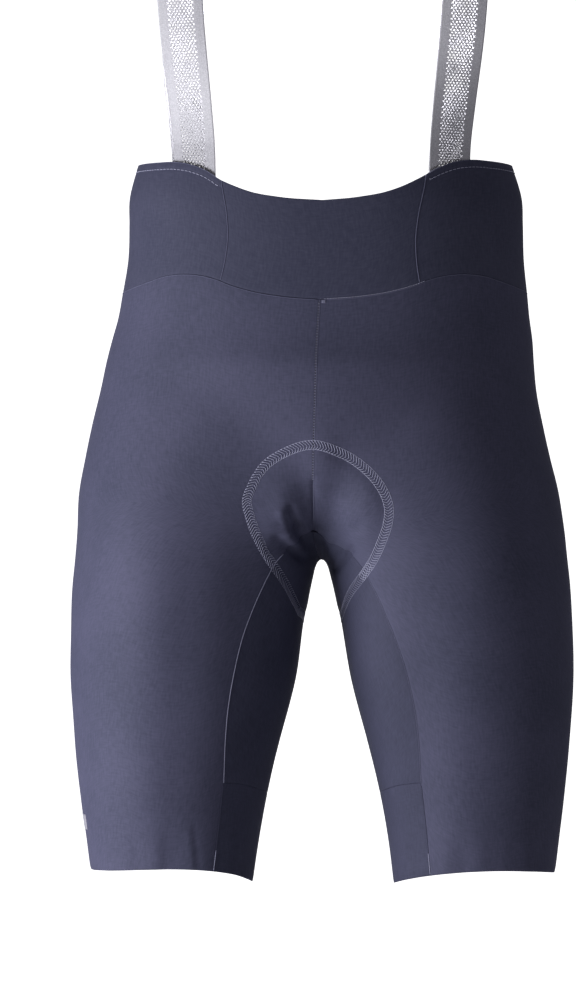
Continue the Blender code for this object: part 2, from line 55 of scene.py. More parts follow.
SECTIONS = (
    # height, outer, inner, front, back, blend
    (312.0, 134.0, -134.0, -99.0, 96.0, 0.0),
    (296.0, 139.0, -139.0, -100.0, 96.0, 0.0),
    (283.0, 143.3, -143.3, -101.0, 95.0, 0.0),
    (268.0, 146.8, -146.8, -102.5, 94.0, 0.0),
    (250.0, 147.2, -147.2, -104.0, 94.0, 0.0),
    (223.0, 148.0, -148.0, -105.5, 98.0, 0.0),
    (196.0, 151.6, -151.6, -106.0, 107.0, 0.0),
    (180.0, 153.7, -150.5, -105.7, 113.5, 4.0),
    (165.0, 156.6, -145.0, -105.0, 119.0, 16.0),
    (148.0, 159.4, -130.0, -104.2, 124.0, 28.0),
    (125.0, 163.0, -103.0, -103.2, 129.0, 36.0),
    (100.0, 168.2, -76.0, -102.4, 133.0, 40.0),
    (75.0, 173.4, -53.0, -101.8, 135.0, 38.0),
    (50.0, 178.8, -32.0, -100.8, 133.5, 34.0),
    (22.0, 182.0, -8.0, -99.2, 126.0, 26.0),
    (0.0, 184.0, 4.0, -98.0, 117.0, 16.0),
    (-17.0, 185.6, 8.6, -97.0, 108.0, 14.0),
    (-47.0, 187.2, 14.6, -95.2, 97.0, 12.0),
    (-92.0, 188.2, 21.8, -90.5, 87.0, 10.0),
    (-137.0, 185.3, 33.0, -83.5, 79.0, 10.0),
    (-182.0, 180.4, 43.9, -76.5, 71.0, 10.0),
    (-222.0, 175.0, 50.8, -70.5, 63.5, 10.0),
    (-262.0, 169.8, 56.0, -65.0, 56.0, 10.0),
)
SEAM_DRIFT = (
    # height, sideways
    (296.0, 1.2), (250.0, 0.0), (205.0, -1.9), (189.0, -2.5), (150.0, -4.7), (120.0, -5.6),
    (75.0, -6.8), (40.0, -6.9), (21.0, -6.2), (10.0, -3.4), (-20.0, -1.8), (-53.0, -1.6),
    (-81.0, -0.9), (-122.0, 0.0), (-260.0, 0.0),
)
WAIST_TOP = {
    # side: (angle, height) from the front round to the back
    -1: ((0.0, 262.1), (18.1, 264.6), (30.1, 269.0), (35.5, 273.0), (40.6, 277.7), (46.3, 285.2),
         (52.1, 289.8), (58.1, 292.0), (65.3, 292.4), (76.2, 292.8), (90.0, 293.4), (112.0, 293.2),
         (128.0, 290.6), (140.0, 285.0), (150.0, 280.0), (162.0, 275.5), (180.0, 273.0)),
    1: ((0.0, 262.1), (15.2, 264.6), (26.9, 269.0), (32.4, 273.0), (38.0, 278.6), (44.6, 286.2),
        (50.8, 291.4), (57.2, 293.6), (65.0, 293.6), (76.2, 293.2), (90.0, 293.4), (112.0, 293.2),
        (128.0, 290.6), (140.0, 285.0), (150.0, 280.0), (162.0, 275.5), (180.0, 273.0)),
}
WAIST_SEAM = (
    # angle from the front, height
    (0.0, 189.6), (15.1, 191.8), (26.8, 195.8), (34.5, 200.4), (40.1, 205.0), (46.4, 208.2),
    (52.6, 209.1), (58.5, 208.0), (65.0, 204.6), (74.0, 200.8), (88.0, 198.6), (120.0, 197.0),
    (180.0, 196.0),
)
WAIST_UPRIGHT = (
    # height, sideways from the middle
    (292.0, 75.6), (276.0, 74.4), (250.0, 69.8), (235.0, 68.6), (220.0, 69.6), (196.0, 74.0),
)
INSEAM_FRONT = (
    # height, sideways
    (21.0, 0.0), (16.5, 8.0), (11.0, 16.2), (4.0, 24.5), (-4.0, 30.4), (-11.0, 34.2), (-20.0, 38.6),
    (-31.5, 44.0), (-43.5, 49.0), (-58.0, 54.6), (-73.5, 59.4), (-91.0, 63.8), (-112.5, 67.8),
    (-136.0, 70.2), (-165.0, 71.4),
)
INSEAM_BACK = (
    # height, sideways
    (50.0, 0.0), (40.0, 13.0), (28.0, 24.0), (12.0, 34.0), (-10.0, 43.0), (-35.0, 51.0),
    (-65.0, 58.0), (-100.0, 64.0), (-140.0, 68.0), (-178.0, 70.0),
)
CROSS_SEAM = (
    # share of the way from front to back, height
    (0.0, -164.8), (0.14, -167.4), (0.3, -171.8), (0.5, -175.5), (0.75, -177.5), (1.0, -178.0),
)
CUFF_FRONT_HEM = 79.6
CUFF_BACK_HEM = 78.0
HEM = {
    # side: heights of the hem at the leg's front, outer side, back and inner side
    -1: (-228.2, -232.0, -235.0, -242.3),
    1: (-230.0, -235.2, -236.5, -243.2),
}
HEM_SWEEP = {-1: 2.6, 1: 0.4}  # how much lower the front of the hem is outside than inside
LEAN = (
    # height, at the right outer side, right inner, left inner, left outer side
    (312.0, 3.4, 3.2, 3.2, 3.0),
    (222.0, 3.4, 3.2, 3.2, 3.0),
    (200.0, 2.2, 2.4, 2.4, 2.6),
    (178.0, 0.7, 1.4, 1.4, 2.2),
    (163.0, -0.8, 0.6, 0.6, 1.5),
    (148.0, -2.2, 0.0, 0.0, 0.0),
    (133.0, -3.0, 0.0, 0.0, -1.2),
    (43.0, -2.8, 0.0, 0.0, -0.4),
    (20.0, -1.2, 0.0, 0.0, 0.6),
    (0.0, -0.8, 0.4, 0.0, 0.7),
    (-31.0, -0.7, 1.4, 0.0, 0.7),
    (-61.0, 0.0, 2.4, -0.3, 0.7),
    (-85.0, 0.0, 3.0, 0.0, 0.7),
    (-110.0, 0.3, 2.6, 0.6, 0.7),
    (-150.0, 0.0, 1.6, 1.3, 0.7),
    (-182.0, 0.7, 2.2, 0.9, 0.5),
    (-215.0, 1.5, 2.4, 0.8, 0.3),
    (-262.0, 1.5, 2.4, 0.8, 0.2),
)
FOLDS = (
    # from x, from z, to x, to z, half width, depth
    (-27.0, 28.0, -13.0, 15.0, 5.0, 1.6),
    (-33.0, 9.0, -15.0, 2.0, 5.0, 1.8),
    (26.0, 24.0, 12.0, 13.0, 5.0, 1.2),
    (21.0, 8.0, 11.0, -7.0, 5.0, 1.6),
)
STRAP_PATH = (
    # x, y, z, turn of its width
    (94.0, -79.0, 279.0, 25.0),
    (94.5, -80.0, 296.0, 25.0),
    (97.7, -86.0, 335.0, 20.0),
    (100.8, -93.0, 370.0, 15.0),
    (103.7, -101.0, 407.0, 12.0),
    (105.5, -112.0, 460.0, 10.0),
    (106.0, -120.0, 520.0, 8.0),
    (104.0, -116.0, 590.0, 6.0),
    (99.0, -92.0, 656.0, 3.0),
    (95.0, -50.0, 708.0, 1.0),
    (93.0, 0.0, 727.0, 0.0),
    (95.0, 48.0, 712.0, -1.0),
    (100.5, 84.0, 664.0, -4.0),
    (105.0, 99.0, 600.0, -8.0),
    (107.0, 97.0, 520.0, -12.0),
    (106.0, 88.0, 440.0, -16.0),
    (104.6, 80.0, 370.0, -20.0),
    (100.2, 75.0, 318.0, -25.0),
    (98.5, 74.0, 290.0, -26.0),
    (98.0, 74.0, 273.0, -26.0),
)
# Fullness of the front beside the groove, held out by the seat pad
FULLNESS = (
    # x, z, half width, half height, amount
    (-25.0, 36.0, 15.0, 25.0, 6.0),
    (25.0, 36.0, 15.0, 25.0, 6.0),
    (0.0, 66.0, 14.0, 22.0, 3.5),
)
# Fine creases that gather at the crotch: hollows count as positive depth, ridges as negative
CREASES = (
    # from x, from z, to x, to z, half width, depth
    (-22.5, 37.0, -17.5, 22.0, 3.0, 2.2),
    (-17.5, 22.0, -12.0, 10.0, 4.0, 2.4),
    (-30.0, 32.0, -24.0, 18.0, 3.0, -1.6),
    (-24.0, 18.0, -16.0, 10.5, 2.8, -1.5),
    (-32.0, 14.5, -17.0, 1.5, 2.6, 1.9),
    (-6.9, 58.0, -6.3, 20.0, 2.0, 0.8),
    (0.0, 48.0, 1.5, 26.0, 8.0, -1.3),
    (23.0, 50.0, 25.0, 30.0, 12.0, 1.4),
    (-5.0, 16.0, -3.0, 4.0, 5.0, 2.2),
    (7.0, 15.0, 9.0, 2.0, 5.0, -2.4),
    (13.0, 6.0, 8.0, -3.0, 1.8, 1.8),
    (17.5, 6.0, 11.5, -6.0, 1.6, -1.4),
    (22.5, 8.0, 13.0, -7.0, 2.4, 1.8),
    (-91.0, -226.0, -94.0, -198.0, 2.8, 0.3),
    (-95.5, -226.0, -98.0, -200.0, 2.8, -0.28),
    (-115.0, -228.0, -116.0, -204.0, 2.6, 0.2),
    (-137.0, -228.0, -138.0, -206.0, 2.8, 0.25),
    (-153.0, -228.0, -154.0, -210.0, 2.8, 0.25),
)
# Outline of the seat pad's stitching, as the front shows it, then under the crotch and up the seat
PAD_FRONT = (
    # x, z
    (-16.3, -42.6), (-20.3, -33.2), (-23.5, -26.4), (-27.8, -18.6), (-36.6, -6.0), (-40.5, -0.1),
    (-45.4, 7.6), (-50.7, 17.9), (-55.6, 31.0), (-58.0, 42.1), (-54.1, 54.8), (-43.9, 70.8),
    (-30.3, 80.1), (-5.9, 86.9), (13.1, 81.5), (32.6, 69.4), (44.2, 56.7), (49.1, 48.0),
    (52.0, 36.3), (51.1, 26.1), (46.2, 11.0), (39.4, -3.5), (32.1, -14.2), (23.3, -26.4),
    (16.3, -42.6),
)
PAD_BACK = (
    # x, y, z roughly, brought onto the cloth below
    (17.0, 6.0, -48.0), (26.0, 40.0, -47.0), (45.0, 78.0, -30.0), (66.0, 110.0, 0.0),
    (77.0, 125.0, 40.0), (70.0, 130.0, 85.0), (42.0, 130.0, 120.0), (0.0, 125.0, 134.0),
    (-42.0, 130.0, 120.0), (-70.0, 130.0, 85.0), (-77.0, 125.0, 40.0), (-66.0, 110.0, 0.0),
    (-45.0, 78.0, -30.0), (-26.0, 40.0, -47.0), (-17.0, 6.0, -48.0),
)
PAD_BAND = 6.7           # between the two rows of the pad's overlock
PAD_PITCH = 2.35         # between its looper threads
PAD_RISE = 0.9           # how much the cloth stands out over the pad
PAD_DENT = 0.3           # how much the overlock presses it in
PAD_SHADED = -16.0       # below this height the overlock's thread is the darker copy: painted shade where the front turns under
DOUBLED = (34.5, -13.0, 7.5)  # x, z and half length of where the row's end is sewn over its start
THIGH_TURN = 5.0         # right thigh's front: fuller outside, lower inside
THIGH_RIDGE = 2.2        # left thigh's front: fuller outside,
THIGH_INNER = 4.0        # fuller beside the gap,
THIGH_HOLLOW = 2.0       # and lower between
FRONT_ENDS = -25.0       # y past which the front's relief fades
HEM_FLUTE = 0.32         # small flutes along the raw hems
CENTRE_PITCH = 2.0       # between the stitches of the centre seams
NET_LENGTH = 1060.0      # length of a strap that the net's rows divide
NET_ROW = 2.1            # height of one row
NET_SLANT = 0.9          # how far the net's knots shift up and down to make six-sided openings
NET_COLUMNS, NET_FIRST, NET_LAST = 26, 5, 21  # columns of a strap, open between first and last
NET_ACROSS, NET_ALONG = 0.62, 0.8  # share of an opening's cell that the yarns leave free
NET_EDGE = 0.22          # how much a strap's two edges stand out
YARN = 0.45              # thickness of the mesh
PRINT_ANGLES = (65.5, 101.0)  # the printed strip's reach round the right leg, in degrees
PRINT_HEIGHTS = (-190.2, -201.5)
PRINT_LIFT, PRINT_THICK = 0.25, 0.2


def linear(code):
    """Linear colour of an sRGB hex code."""
    parts = [int(code[i:i + 2], 16) / 255 for i in (1, 3, 5)]
    straight = [c / 12.92 if c <= 0.04045 else ((c + 0.055) / 1.055) ** 2.4 for c in parts]
    return (*straight, 1.0)


def unit(vectors):
    return vectors / np.linalg.norm(vectors, axis=-1, keepdims=True)


def run_along(points, axis=0):
    """Distance travelled along lines of points, from nought at each line's start."""
    pieces = np.linalg.norm(np.diff(points, axis=axis), axis=-1)
    return np.insert(np.cumsum(pieces, axis=axis), 0, 0.0, axis=axis)


def bell(away, half):
    """Smooth bump: 1 where away is 0, fading out over the half width."""
    return np.exp(-(away / half) ** 2)


def until(at, edge, soft):
    """Smooth step: 1 before the edge, 0 past it."""
    return 1 / (1 + np.exp((at - edge) / soft))


# ---- form of the worn garment
def read(table, at):
    """Columns of a table at the given first-column values, run smoothly between the rows."""
    rows = np.array(sorted(table), dtype=float)
    knot, value = rows[:, 0], rows[:, 1:]
    slope = np.gradient(value, knot, axis=0)
    at = np.clip(np.asarray(at, dtype=float), knot[0], knot[-1])
    k = np.clip(np.searchsorted(knot, at, side="right") - 1, 0, len(knot) - 2)
    span = knot[k + 1] - knot[k]
    t = ((at - knot[k]) / span)[..., None]
    span = span[..., None]
    out = ((2 * t ** 3 - 3 * t ** 2 + 1) * value[k] + (t ** 3 - 2 * t ** 2 + t) * span * slope[k]
           + (3 * t ** 2 - 2 * t ** 3) * value[k + 1] + (t ** 3 - t ** 2) * span * slope[k + 1])
    return [out[..., i] for i in range(out.shape[-1])]


def section(z):
    """Centre, half sizes and softness of the joint of the two leg ovals at a height."""
    outer, inner, front, back, blend = read(SECTIONS, z)
    sideways = np.maximum((outer + inner) / 2, 0)
    return (sideways, (front + back) / 2, outer - sideways, (back - front) / 2,
            np.clip(blend, 1e-3, 1e-3 + 1.8 * sideways))


def outside_leg(x, y, side, level):
    """Distance outside one leg's oval."""
    sideways, along, half_width, half_depth = level[:4]
    dx, dy = x - side * sideways, y - along
    ratio = (np.abs(dx / half_width) ** OVAL + np.abs(dy / half_depth) ** OVAL) ** (1 / OVAL)
    ratio = np.maximum(ratio, 1e-4)
    return np.maximum(np.hypot(dx, dy), 1e-3) * (1 - 1 / ratio)


def troughs(table, x, y, z):
    """Depth of a table's folds at a place on the front."""
    depth = 0.0
    for x0, z0, x1, z1, half, deep in table:
        along = ((x - x0) * (x1 - x0) + (z - z0) * (z1 - z0)) / ((x1 - x0) ** 2 + (z1 - z0) ** 2)
        along = np.clip(along, 0, 1)
        away = np.hypot(x - x0 - along * (x1 - x0), z - z0 - along * (z1 - z0))
        depth = depth + deep * bell(away, half)
    return depth * until(y, FRONT_ENDS, 6.0)


def fullness(x, y, z):
    """Extra fullness of the front over the pad."""
    extra = 0.0
    for x0, z0, wide, high, amount in FULLNESS:
        extra = extra + amount * bell(x - x0, wide) * bell(z - z0, high)
    return extra * until(y, FRONT_ENDS, 6.0)


def lean(x, z):
    """Sideways shift of the worn form at a place, from the four columns of its table."""
    right_out, right_in, left_in, left_out = read(LEAN, z)
    return (right_in + (left_in - right_in) * np.clip((x + 15.0) / 30.0, 0, 1)
            + (left_out - left_in) * np.clip((x - 15.0) / 155.0, 0, 1)
            + (right_out - right_in) * np.clip((-x - 15.0) / 155.0, 0, 1))


def form(x, y, z):
    """Signed distance, roughly, from the worn form: negative inside."""
    extra = troughs(FOLDS, x, y, z) - fullness(x, y, z)
    x = x - lean(x, z)
    level = section(z)
    left, right = outside_leg(x, y, 1, level), outside_leg(x, y, -1, level)
    soft = level[-1]
    near = np.maximum(soft - np.abs(left - right), 0) / soft
    return np.minimum(left, right) - near ** 2 * soft / 4 + extra


def facing(points):
    """Directions straight out of the form at the points."""
    step = 0.4
    x, y, z = points[..., 0], points[..., 1], points[..., 2]
    out = np.stack([form(x + step, y, z) - form(x - step, y, z),
                    form(x, y + step, z) - form(x, y - step, z),
                    form(x, y, z + step) - form(x, y, z - step)], axis=-1)
    return unit(out)


def first_face(start, direction, reach, steps=64):
    """First place where each ray crosses the form's face, going from start along direction."""
    start, direction = np.broadcast_arrays(np.asarray(start, float), np.asarray(direction, float))
    shape = start.shape
    start, direction = start.reshape(-1, 3), direction.reshape(-1, 3)
    travel = np.linspace(0, reach, steps)
    low, high = np.zeros(len(start)), np.zeros(len(start))
    for a in range(0, len(start), 3000):
        part = slice(a, a + 3000)
        line = start[part, None, :] + direction[part, None, :] * travel[:, None]
        value = form(line[..., 0], line[..., 1], line[..., 2])
        hit = np.argmax(np.sign(value[:, 1:]) != np.sign(value[:, :1]), axis=-1)
        low[part], high[part] = travel[hit], travel[hit + 1]
    first = np.sign(form(*start.T))
    for _ in range(16):
        mid = (low + high) / 2
        same = np.sign(form(*(start + direction * mid[:, None]).T)) == first
        low, high = np.where(same, mid, low), np.where(same, high, mid)
    return (start + direction * ((low + high) / 2)[:, None]).reshape(shape)


def onto_form(points, rounds=8):
    """Points brought onto the form along its own directions."""
    points = np.array(points, float)
    for _ in range(rounds):
        points = points - facing(points) * form(*np.moveaxis(points, -1, 0))[..., None] * 0.8
    return points


def front_at(x, z):
    x, z = np.broadcast_arrays(np.asarray(x, float), np.asarray(z, float))
    return first_face(np.stack([x, np.full(x.shape, -170.0), z], -1), (0, 1, 0), 200, 120)


def back_at(x, z):
    x, z = np.broadcast_arrays(np.asarray(x, float), np.asarray(z, float))
    return first_face(np.stack([x, np.full(x.shape, 190.0), z], -1), (0, -1, 0), 200, 120)


def under_at(x, y):
    x, y = np.broadcast_arrays(np.asarray(x, float), np.asarray(y, float))
    return first_face(np.stack([x, y, np.full(x.shape, -60.0)], -1), (0, 0, 1), 150, 120)


def round_leg(angle, z, side):
    """Point of the form at an angle round one leg: 0 front, 90 outside, 180 back, -90 inside."""
    angle, z = np.broadcast_arrays(np.asarray(angle, float), np.asarray(z, float))
    cx, cy = section(z)[:2]
    turn = np.radians(angle)
    way = np.stack([side * np.sin(turn), -np.cos(turn), np.zeros(turn.shape)], -1)
    return first_face(np.stack([side * cx, cy, z], -1), way, 190)


def angle_of(points, side, back=False):
    cx, cy = section(points[..., 2])[:2]
    angle = np.degrees(np.arctan2(side * (points[..., 0] - side * cx), -(points[..., 1] - cy)))
    return np.where(angle < -60, angle + 360, angle) if back else angle


def blend_grid(top, bottom, near, far, across, down):
    """Values inside a panel, blended from those along its four edges."""
    u, v = across[None, :], down[:, None]
    return ((1 - v) * top[None, :] + v * bottom[None, :]
            + (1 - u) * (near - (1 - down) * near[0] - down * near[-1])[:, None]
            + u * (far - (1 - down) * far[0] - down * far[-1])[:, None])


def drift(z):
    return read(SEAM_DRIFT, z)[0]


def upright(z, side):
    return front_at(drift(z) + side * read(WAIST_UPRIGHT, z)[0], z)


def upright_ends(side):
    """Angle and height where the upright waist seam meets the top edge and the waist seam."""
    ends = []
    for edge in (WAIST_TOP[side], WAIST_SEAM):
        z = 240.0
        for _ in range(40):
            angle = float(angle_of(upright(z, side), side))
            z = z + 0.7 * (float(read(edge, angle)[0]) - z)
        ends.append((angle, z))
    return ends


def hem_height(angle, side):
    turn = np.radians(angle)
    front, outer, back, inner = HEM[side]
    mean = (front + back + outer + inner) / 4
    sweep = HEM_SWEEP[side] * np.sin(2 * turn) * (1 + np.cos(turn)) / 2
    return (mean - sweep + (front - back) / 2 * np.cos(turn) + (outer - inner) / 2 * np.sin(turn)
            + (front + back - outer - inner) / 4 * np.cos(2 * turn))


def steps_of(length, zones, ends=(0.0, 0.35, 0.8, 1.5, 2.4)):
    """Shares of a length for a grid's lines: close together at both ends, by zones between."""
    marks = list(ends)
    while marks[-1] < length - ends[-1]:
        step = next((s for reach, s in zones if marks[-1] < reach), zones[-1][1])
        marks.append(marks[-1] + step)
    while marks[-1] > length - ends[-1] - 0.6:
        marks.pop()
    marks += [length - e for e in reversed(ends)]
    return np.array(marks) / length


# ---- edges that the panels share
def front_inseam(t, side):
    z = GUSSET_FRONT + t * (INSEAM_FRONT[-1][0] - GUSSET_FRONT)
    return front_at(drift(z) + side * read(INSEAM_FRONT, z)[0], z)


def back_inseam(t, side):
    z = GUSSET_BACK + t * (INSEAM_BACK[-1][0] - GUSSET_BACK)
    return back_at(side * read(INSEAM_BACK, z)[0], z)


def cuff_seam(t, start, x_hem, side, face):
    x0, z0 = start[0], start[2]
    x1, z1 = side * x_hem, HEM[side][0]
    for _ in range(20):
        z1 = float(hem_height(float(angle_of(face(x1, z1), side)), side))
    return face(x0 + t * (x1 - x0), z0 + t * (z1 - z0))


def crotch_line(t):
    start, end = front_at(drift(GUSSET_FRONT), GUSSET_FRONT), back_at(0.0, GUSSET_BACK)
    line = under_at(start[0] * np.clip(1 - 2.5 * t, 0, 1), start[1] + t * (end[1] - start[1]))
    line[0], line[-1] = start, end
    return line


INSEAM_MM, CENTRE_MM, CUFF_MM, INNER_MM = 205.0, 172.0, 64.0, 150.0
T_INSEAM = steps_of(INSEAM_MM, ((40, 1.5), (90, 2.4), (999, 3.2)), (0.0, 0.5, 1.2))
T_CENTRE = steps_of(CENTRE_MM, ((95, 3.4), (999, 2.0)), (0.0, 0.5, 1.2, 2.2))
T_CUFF = steps_of(CUFF_MM, ((999, 2.4),), (0.0, 0.6, 1.5))
T_INNER = steps_of(INNER_MM, ((30, 2.0), (120, 3.0), (999, 2.4)))


def leg_edges(side):
    z_top = float(read(WAIST_SEAM, 1.4)[0])
    z = z_top + T_CENTRE * (GUSSET_FRONT - z_top)
    front = [front_at(drift(z), z), front_inseam(T_INSEAM, side)[1:]]
    front.append(cuff_seam(T_CUFF, front[1][-1], CUFF_FRONT_HEM, side, front_at)[1:])
    z = WAIST_SEAM[-1][1] + T_CENTRE * (GUSSET_BACK - WAIST_SEAM[-1][1])
    back = [back_at(0 * z, z), back_inseam(T_INSEAM, side)[1:]]
    back.append(cuff_seam(T_CUFF, back[1][-1], CUFF_BACK_HEM, side, back_at)[1:])
    return np.concatenate(front), np.concatenate(back)


def leg_grid(side):
    front, back = leg_edges(side)
    start = float(angle_of(front[0], side))
    across = steps_of(400.0, ((45, 1.6), (120, 2.6), (999, 3.4)))
    top_angle = start + across * (180 - start)
    fall = (front[:, 2] + back[:, 2]) / 2
    down = (fall[0] - fall) / (fall[0] - fall[-1])
    near, far = angle_of(front, side), angle_of(back, side, back=True)
    low_angle = near[-1] + across * (far[-1] - near[-1])
    angle = blend_grid(top_angle, low_angle, near, far, across, down)
    height = blend_grid(read(WAIST_SEAM, np.abs(top_angle))[0], hem_height(low_angle, side),
                        front[:, 2], back[:, 2], across, down)
    grid = round_leg(angle, height, side)
    grid[:, 0], grid[:, -1] = front, back
    return grid


def inner_grid(side):
    top = crotch_line(T_INNER)
    front, back = front_inseam(T_INSEAM, side), back_inseam(T_INSEAM, side)
    near, far = angle_of(front, side), angle_of(back, side, back=True) - 360
    top_angle = angle_of(top, side)
    top_angle = np.where(top_angle > 60, top_angle - 360, top_angle)
    low_angle = near[-1] + T_INNER * (far[-1] - near[-1])
    angle = blend_grid(top_angle, low_angle, near, far, T_INNER, T_INSEAM)
    height = blend_grid(top[:, 2], read(CROSS_SEAM, T_INNER)[0], front[:, 2], back[:, 2],
                        T_INNER, T_INSEAM)
    grid = round_leg(angle, height, side)
    grid[0], grid[:, 0], grid[:, -1] = top, front, back
    return grid


def cuff_grid(side):
    end = np.array([1.0])
    front = cuff_seam(T_CUFF, front_inseam(end, side)[0], CUFF_FRONT_HEM, side, front_at)
    back = cuff_seam(T_CUFF, back_inseam(end, side)[0], CUFF_BACK_HEM, side, back_at)
    near, far = angle_of(front, side), angle_of(back, side, back=True) - 360
    top_angle = near[0] + T_INNER * (far[0] - near[0])
    low_angle = near[-1] + T_INNER * (far[-1] - near[-1])
    angle = blend_grid(top_angle, low_angle, near, far, T_INNER, T_CUFF)
    height = blend_grid(read(CROSS_SEAM, T_INNER)[0], hem_height(low_angle, side),
                        front[:, 2], back[:, 2], T_INNER, T_CUFF)
    grid = round_leg(angle, height, side)
    grid[:, 0], grid[:, -1] = front, back
    return grid


def waist_front_grid():
    (top_r, z_top_r), (low_r, z_low_r) = upright_ends(-1)
    (top_l, z_top_l), (low_l, z_low_l) = upright_ends(1)
    across, down = steps_of(152.0, ((999, 2.6),)), steps_of(78.0, ((999, 2.4),))
    top_angle, low_angle = -top_r + across * (top_l + top_r), -low_r + across * (low_l + low_r)
    right = upright(z_top_r + down * (z_low_r - z_top_r), -1)
    left = upright(z_top_l + down * (z_low_l - z_top_l), 1)
    angle = blend_grid(top_angle, low_angle, -angle_of(right, -1), angle_of(left, 1), across, down)
    top = np.where(top_angle < 0, read(WAIST_TOP[-1], -top_angle)[0],
                   read(WAIST_TOP[1], top_angle)[0])
    height = blend_grid(top, read(WAIST_SEAM, np.abs(low_angle))[0], right[:, 2], left[:, 2],
                        across, down)
    grid = round_leg(angle, height, 1)
    grid[:, 0], grid[:, -1] = right, left
    return grid


def waist_side_grid(side):
    (top, z_top), (low, z_low) = upright_ends(side)
    across, down = steps_of(335.0, ((999, 3.0),)), steps_of(90.0, ((12, 1.2), (999, 2.6)))
    top_angle, low_angle = top + across * (180 - top), low + across * (180 - low)
    front = upright(z_top + down * (z_low - z_top), side)
    back_z = WAIST_TOP[side][-1][1] + down * (WAIST_SEAM[-1][1] - WAIST_TOP[side][-1][1])
    angle = blend_grid(top_angle, low_angle, angle_of(front, side), np.full(down.shape, 180.0),
                       across, down)
    height = blend_grid(read(WAIST_TOP[side], top_angle)[0], read(WAIST_SEAM, low_angle)[0],
                        front[:, 2], back_z, across, down)
    grid = round_leg(angle, height, side)
    grid[:, 0] = front
    return grid


# ---- relief that lies on the form
def smooth_path(points, step):
    """Evenly spaced points along a smooth curve through the given ones."""
    points = np.array(points, float)
    run = run_along(points)
    for spacing in (1.0, step):
        table = [(run[i], *points[i]) for i in range(len(points))]
        count = max(int(round(run[-1] / spacing)), 4)
        points = np.stack(read(table, np.linspace(0, run[-1], count + 1)), -1)
        run = run_along(points)
    return points


def pad_outer():
    """Outer row of the pad's stitching: a closed curve up the front, under and up the seat."""
    front = front_at(*np.array(PAD_FRONT).T)
    back = onto_form(PAD_BACK, 20)
    whole = np.concatenate([front, back, front[:1]])
    return onto_form(smooth_path(whole, 1.0), 3)[:-1]


def inward_of(curve):
    """Directions in the cloth from a closed curve towards its inside."""
    ahead = np.roll(curve, -2, axis=0) - np.roll(curve, 2, axis=0)
    return unit(np.cross(ahead, facing(curve)))


PAD = pad_outer()
PAD_IN = inward_of(PAD)
PAD_FACE = facing(PAD)


def pad_side(points):
    """Distance inside the pad's outer row of stitches, negative outside and out of its reach."""
    shape = points.shape[:-1]
    flat = points.reshape(-1, 3)
    away = np.full(len(flat), -60.0)
    close = np.flatnonzero((flat[:, 2] > -90) & (flat[:, 2] < 170) & (np.abs(flat[:, 0]) < 110))
    out = facing(flat[close])
    for a in range(0, len(close), 3000):
        pick, face = close[a:a + 3000], out[a:a + 3000]
        gap = np.linalg.norm(flat[pick, None] - PAD[None, ::3], axis=-1)
        # the far side of a leg is not the near side's neighbour
        gap = gap + 40.0 * (face @ PAD_FACE[::3].T < 0.1)
        nearest = np.argmin(gap, axis=1)
        sign = np.sign(np.sum(PAD_IN[::3][nearest] * (flat[pick] - PAD[::3][nearest]), axis=-1))
        away[pick] = np.minimum(gap[np.arange(len(pick)), nearest], 59.0) * sign
    return away.reshape(shape)


def relief(points):
    """How far the cloth stands out of the plain form, in millimetres."""
    x, y, z = points[..., 0], points[..., 1], points[..., 2]
    inside = pad_side(points)
    pad = PAD_RISE * until(-inside, -9.5, 1.6) - PAD_DENT * bell(inside - PAD_BAND / 2, 3.6)
    # small flutes along the raw hems
    side = np.where(x >= 0, 1.0, -1.0)
    cx, cy = section(z)[:2]
    turn = np.arctan2(side * (x - side * cx), -(y - cy))
    angle = np.degrees(turn)
    above = z - np.where(x >= 0, hem_height(angle, 1), hem_height(angle, -1))
    wave = np.sin(turn * 13 + side * 0.6) + 0.6 * np.sin(turn * 21 + 1.3 * side)
    hem = HEM_FLUTE * wave * bell(np.maximum(above - 8, 0), 20.0) * np.clip(above / 6 + 0.4, 0, 1)
    sway = (0.35 * np.sin(x / 31.0 + z / 47.0) + 0.3 * np.sin(z / 26.0 - x / 60.0 + 1.0)
            + 0.22 * np.sin(y / 23.0 + z / 35.0 + 2.0))
    # the right thigh is turned a little
    right = THIGH_TURN * (bell(x + 130.0, 30.0) - bell(x + 52.0, 30.0))
    right = right * until(y, FRONT_ENDS, 9.0) * until(z, 60.0, 25.0)
    right = right * np.clip((z + 236.0) / 60.0, 0, 1)
    # the left thigh is flatter in front than its oval
    left = THIGH_RIDGE * bell(x - 104.0, 26.0) * until(y, FRONT_ENDS, 9.0)
    flat = THIGH_INNER * bell(x - 14.0, 24.0) - THIGH_HOLLOW * bell(x - 72.0, 22.0)
    left = left + flat * until(y, -32.0, 7.0) * until(z, -40.0, 14.0)
    left = left * until(z, -10.0, 20.0) * np.clip((z + 242.0) / 40.0, 0, 1)
    return pad - troughs(CREASES, x, y, z) + hem + sway + right + left


def panel_cloth(grid, raw_low=False, soft_top=False):
    """Outer face of a panel: its relief, dips at the sewn edges, the free ones rounded off."""
    normal = facing(grid)
    run_u, run_v = run_along(grid, 1), run_along(grid, 0)
    lift = relief(grid)
    edges = ((run_u, False), (run_u[:, -1:] - run_u, False), (run_v, soft_top),
             (run_v[-1:] - run_v, raw_low))
    for away, free in edges:
        lift = lift - (FREE_SINK * bell(away, 0.5) if free else SEAM_SINK * bell(away, 0.8))
    if soft_top:
        # the folded top hem is two layers deep down to its stitch line
        lift = (lift + HEM_DOUBLE * until(run_v, HEM_FOLD, 0.3)
                - FREE_SINK * bell(run_v - HEM_FOLD, 0.7))
    out = grid + normal * lift[..., None]
    pull_back(out, raw_low)
    return out, normal, run_u, run_v


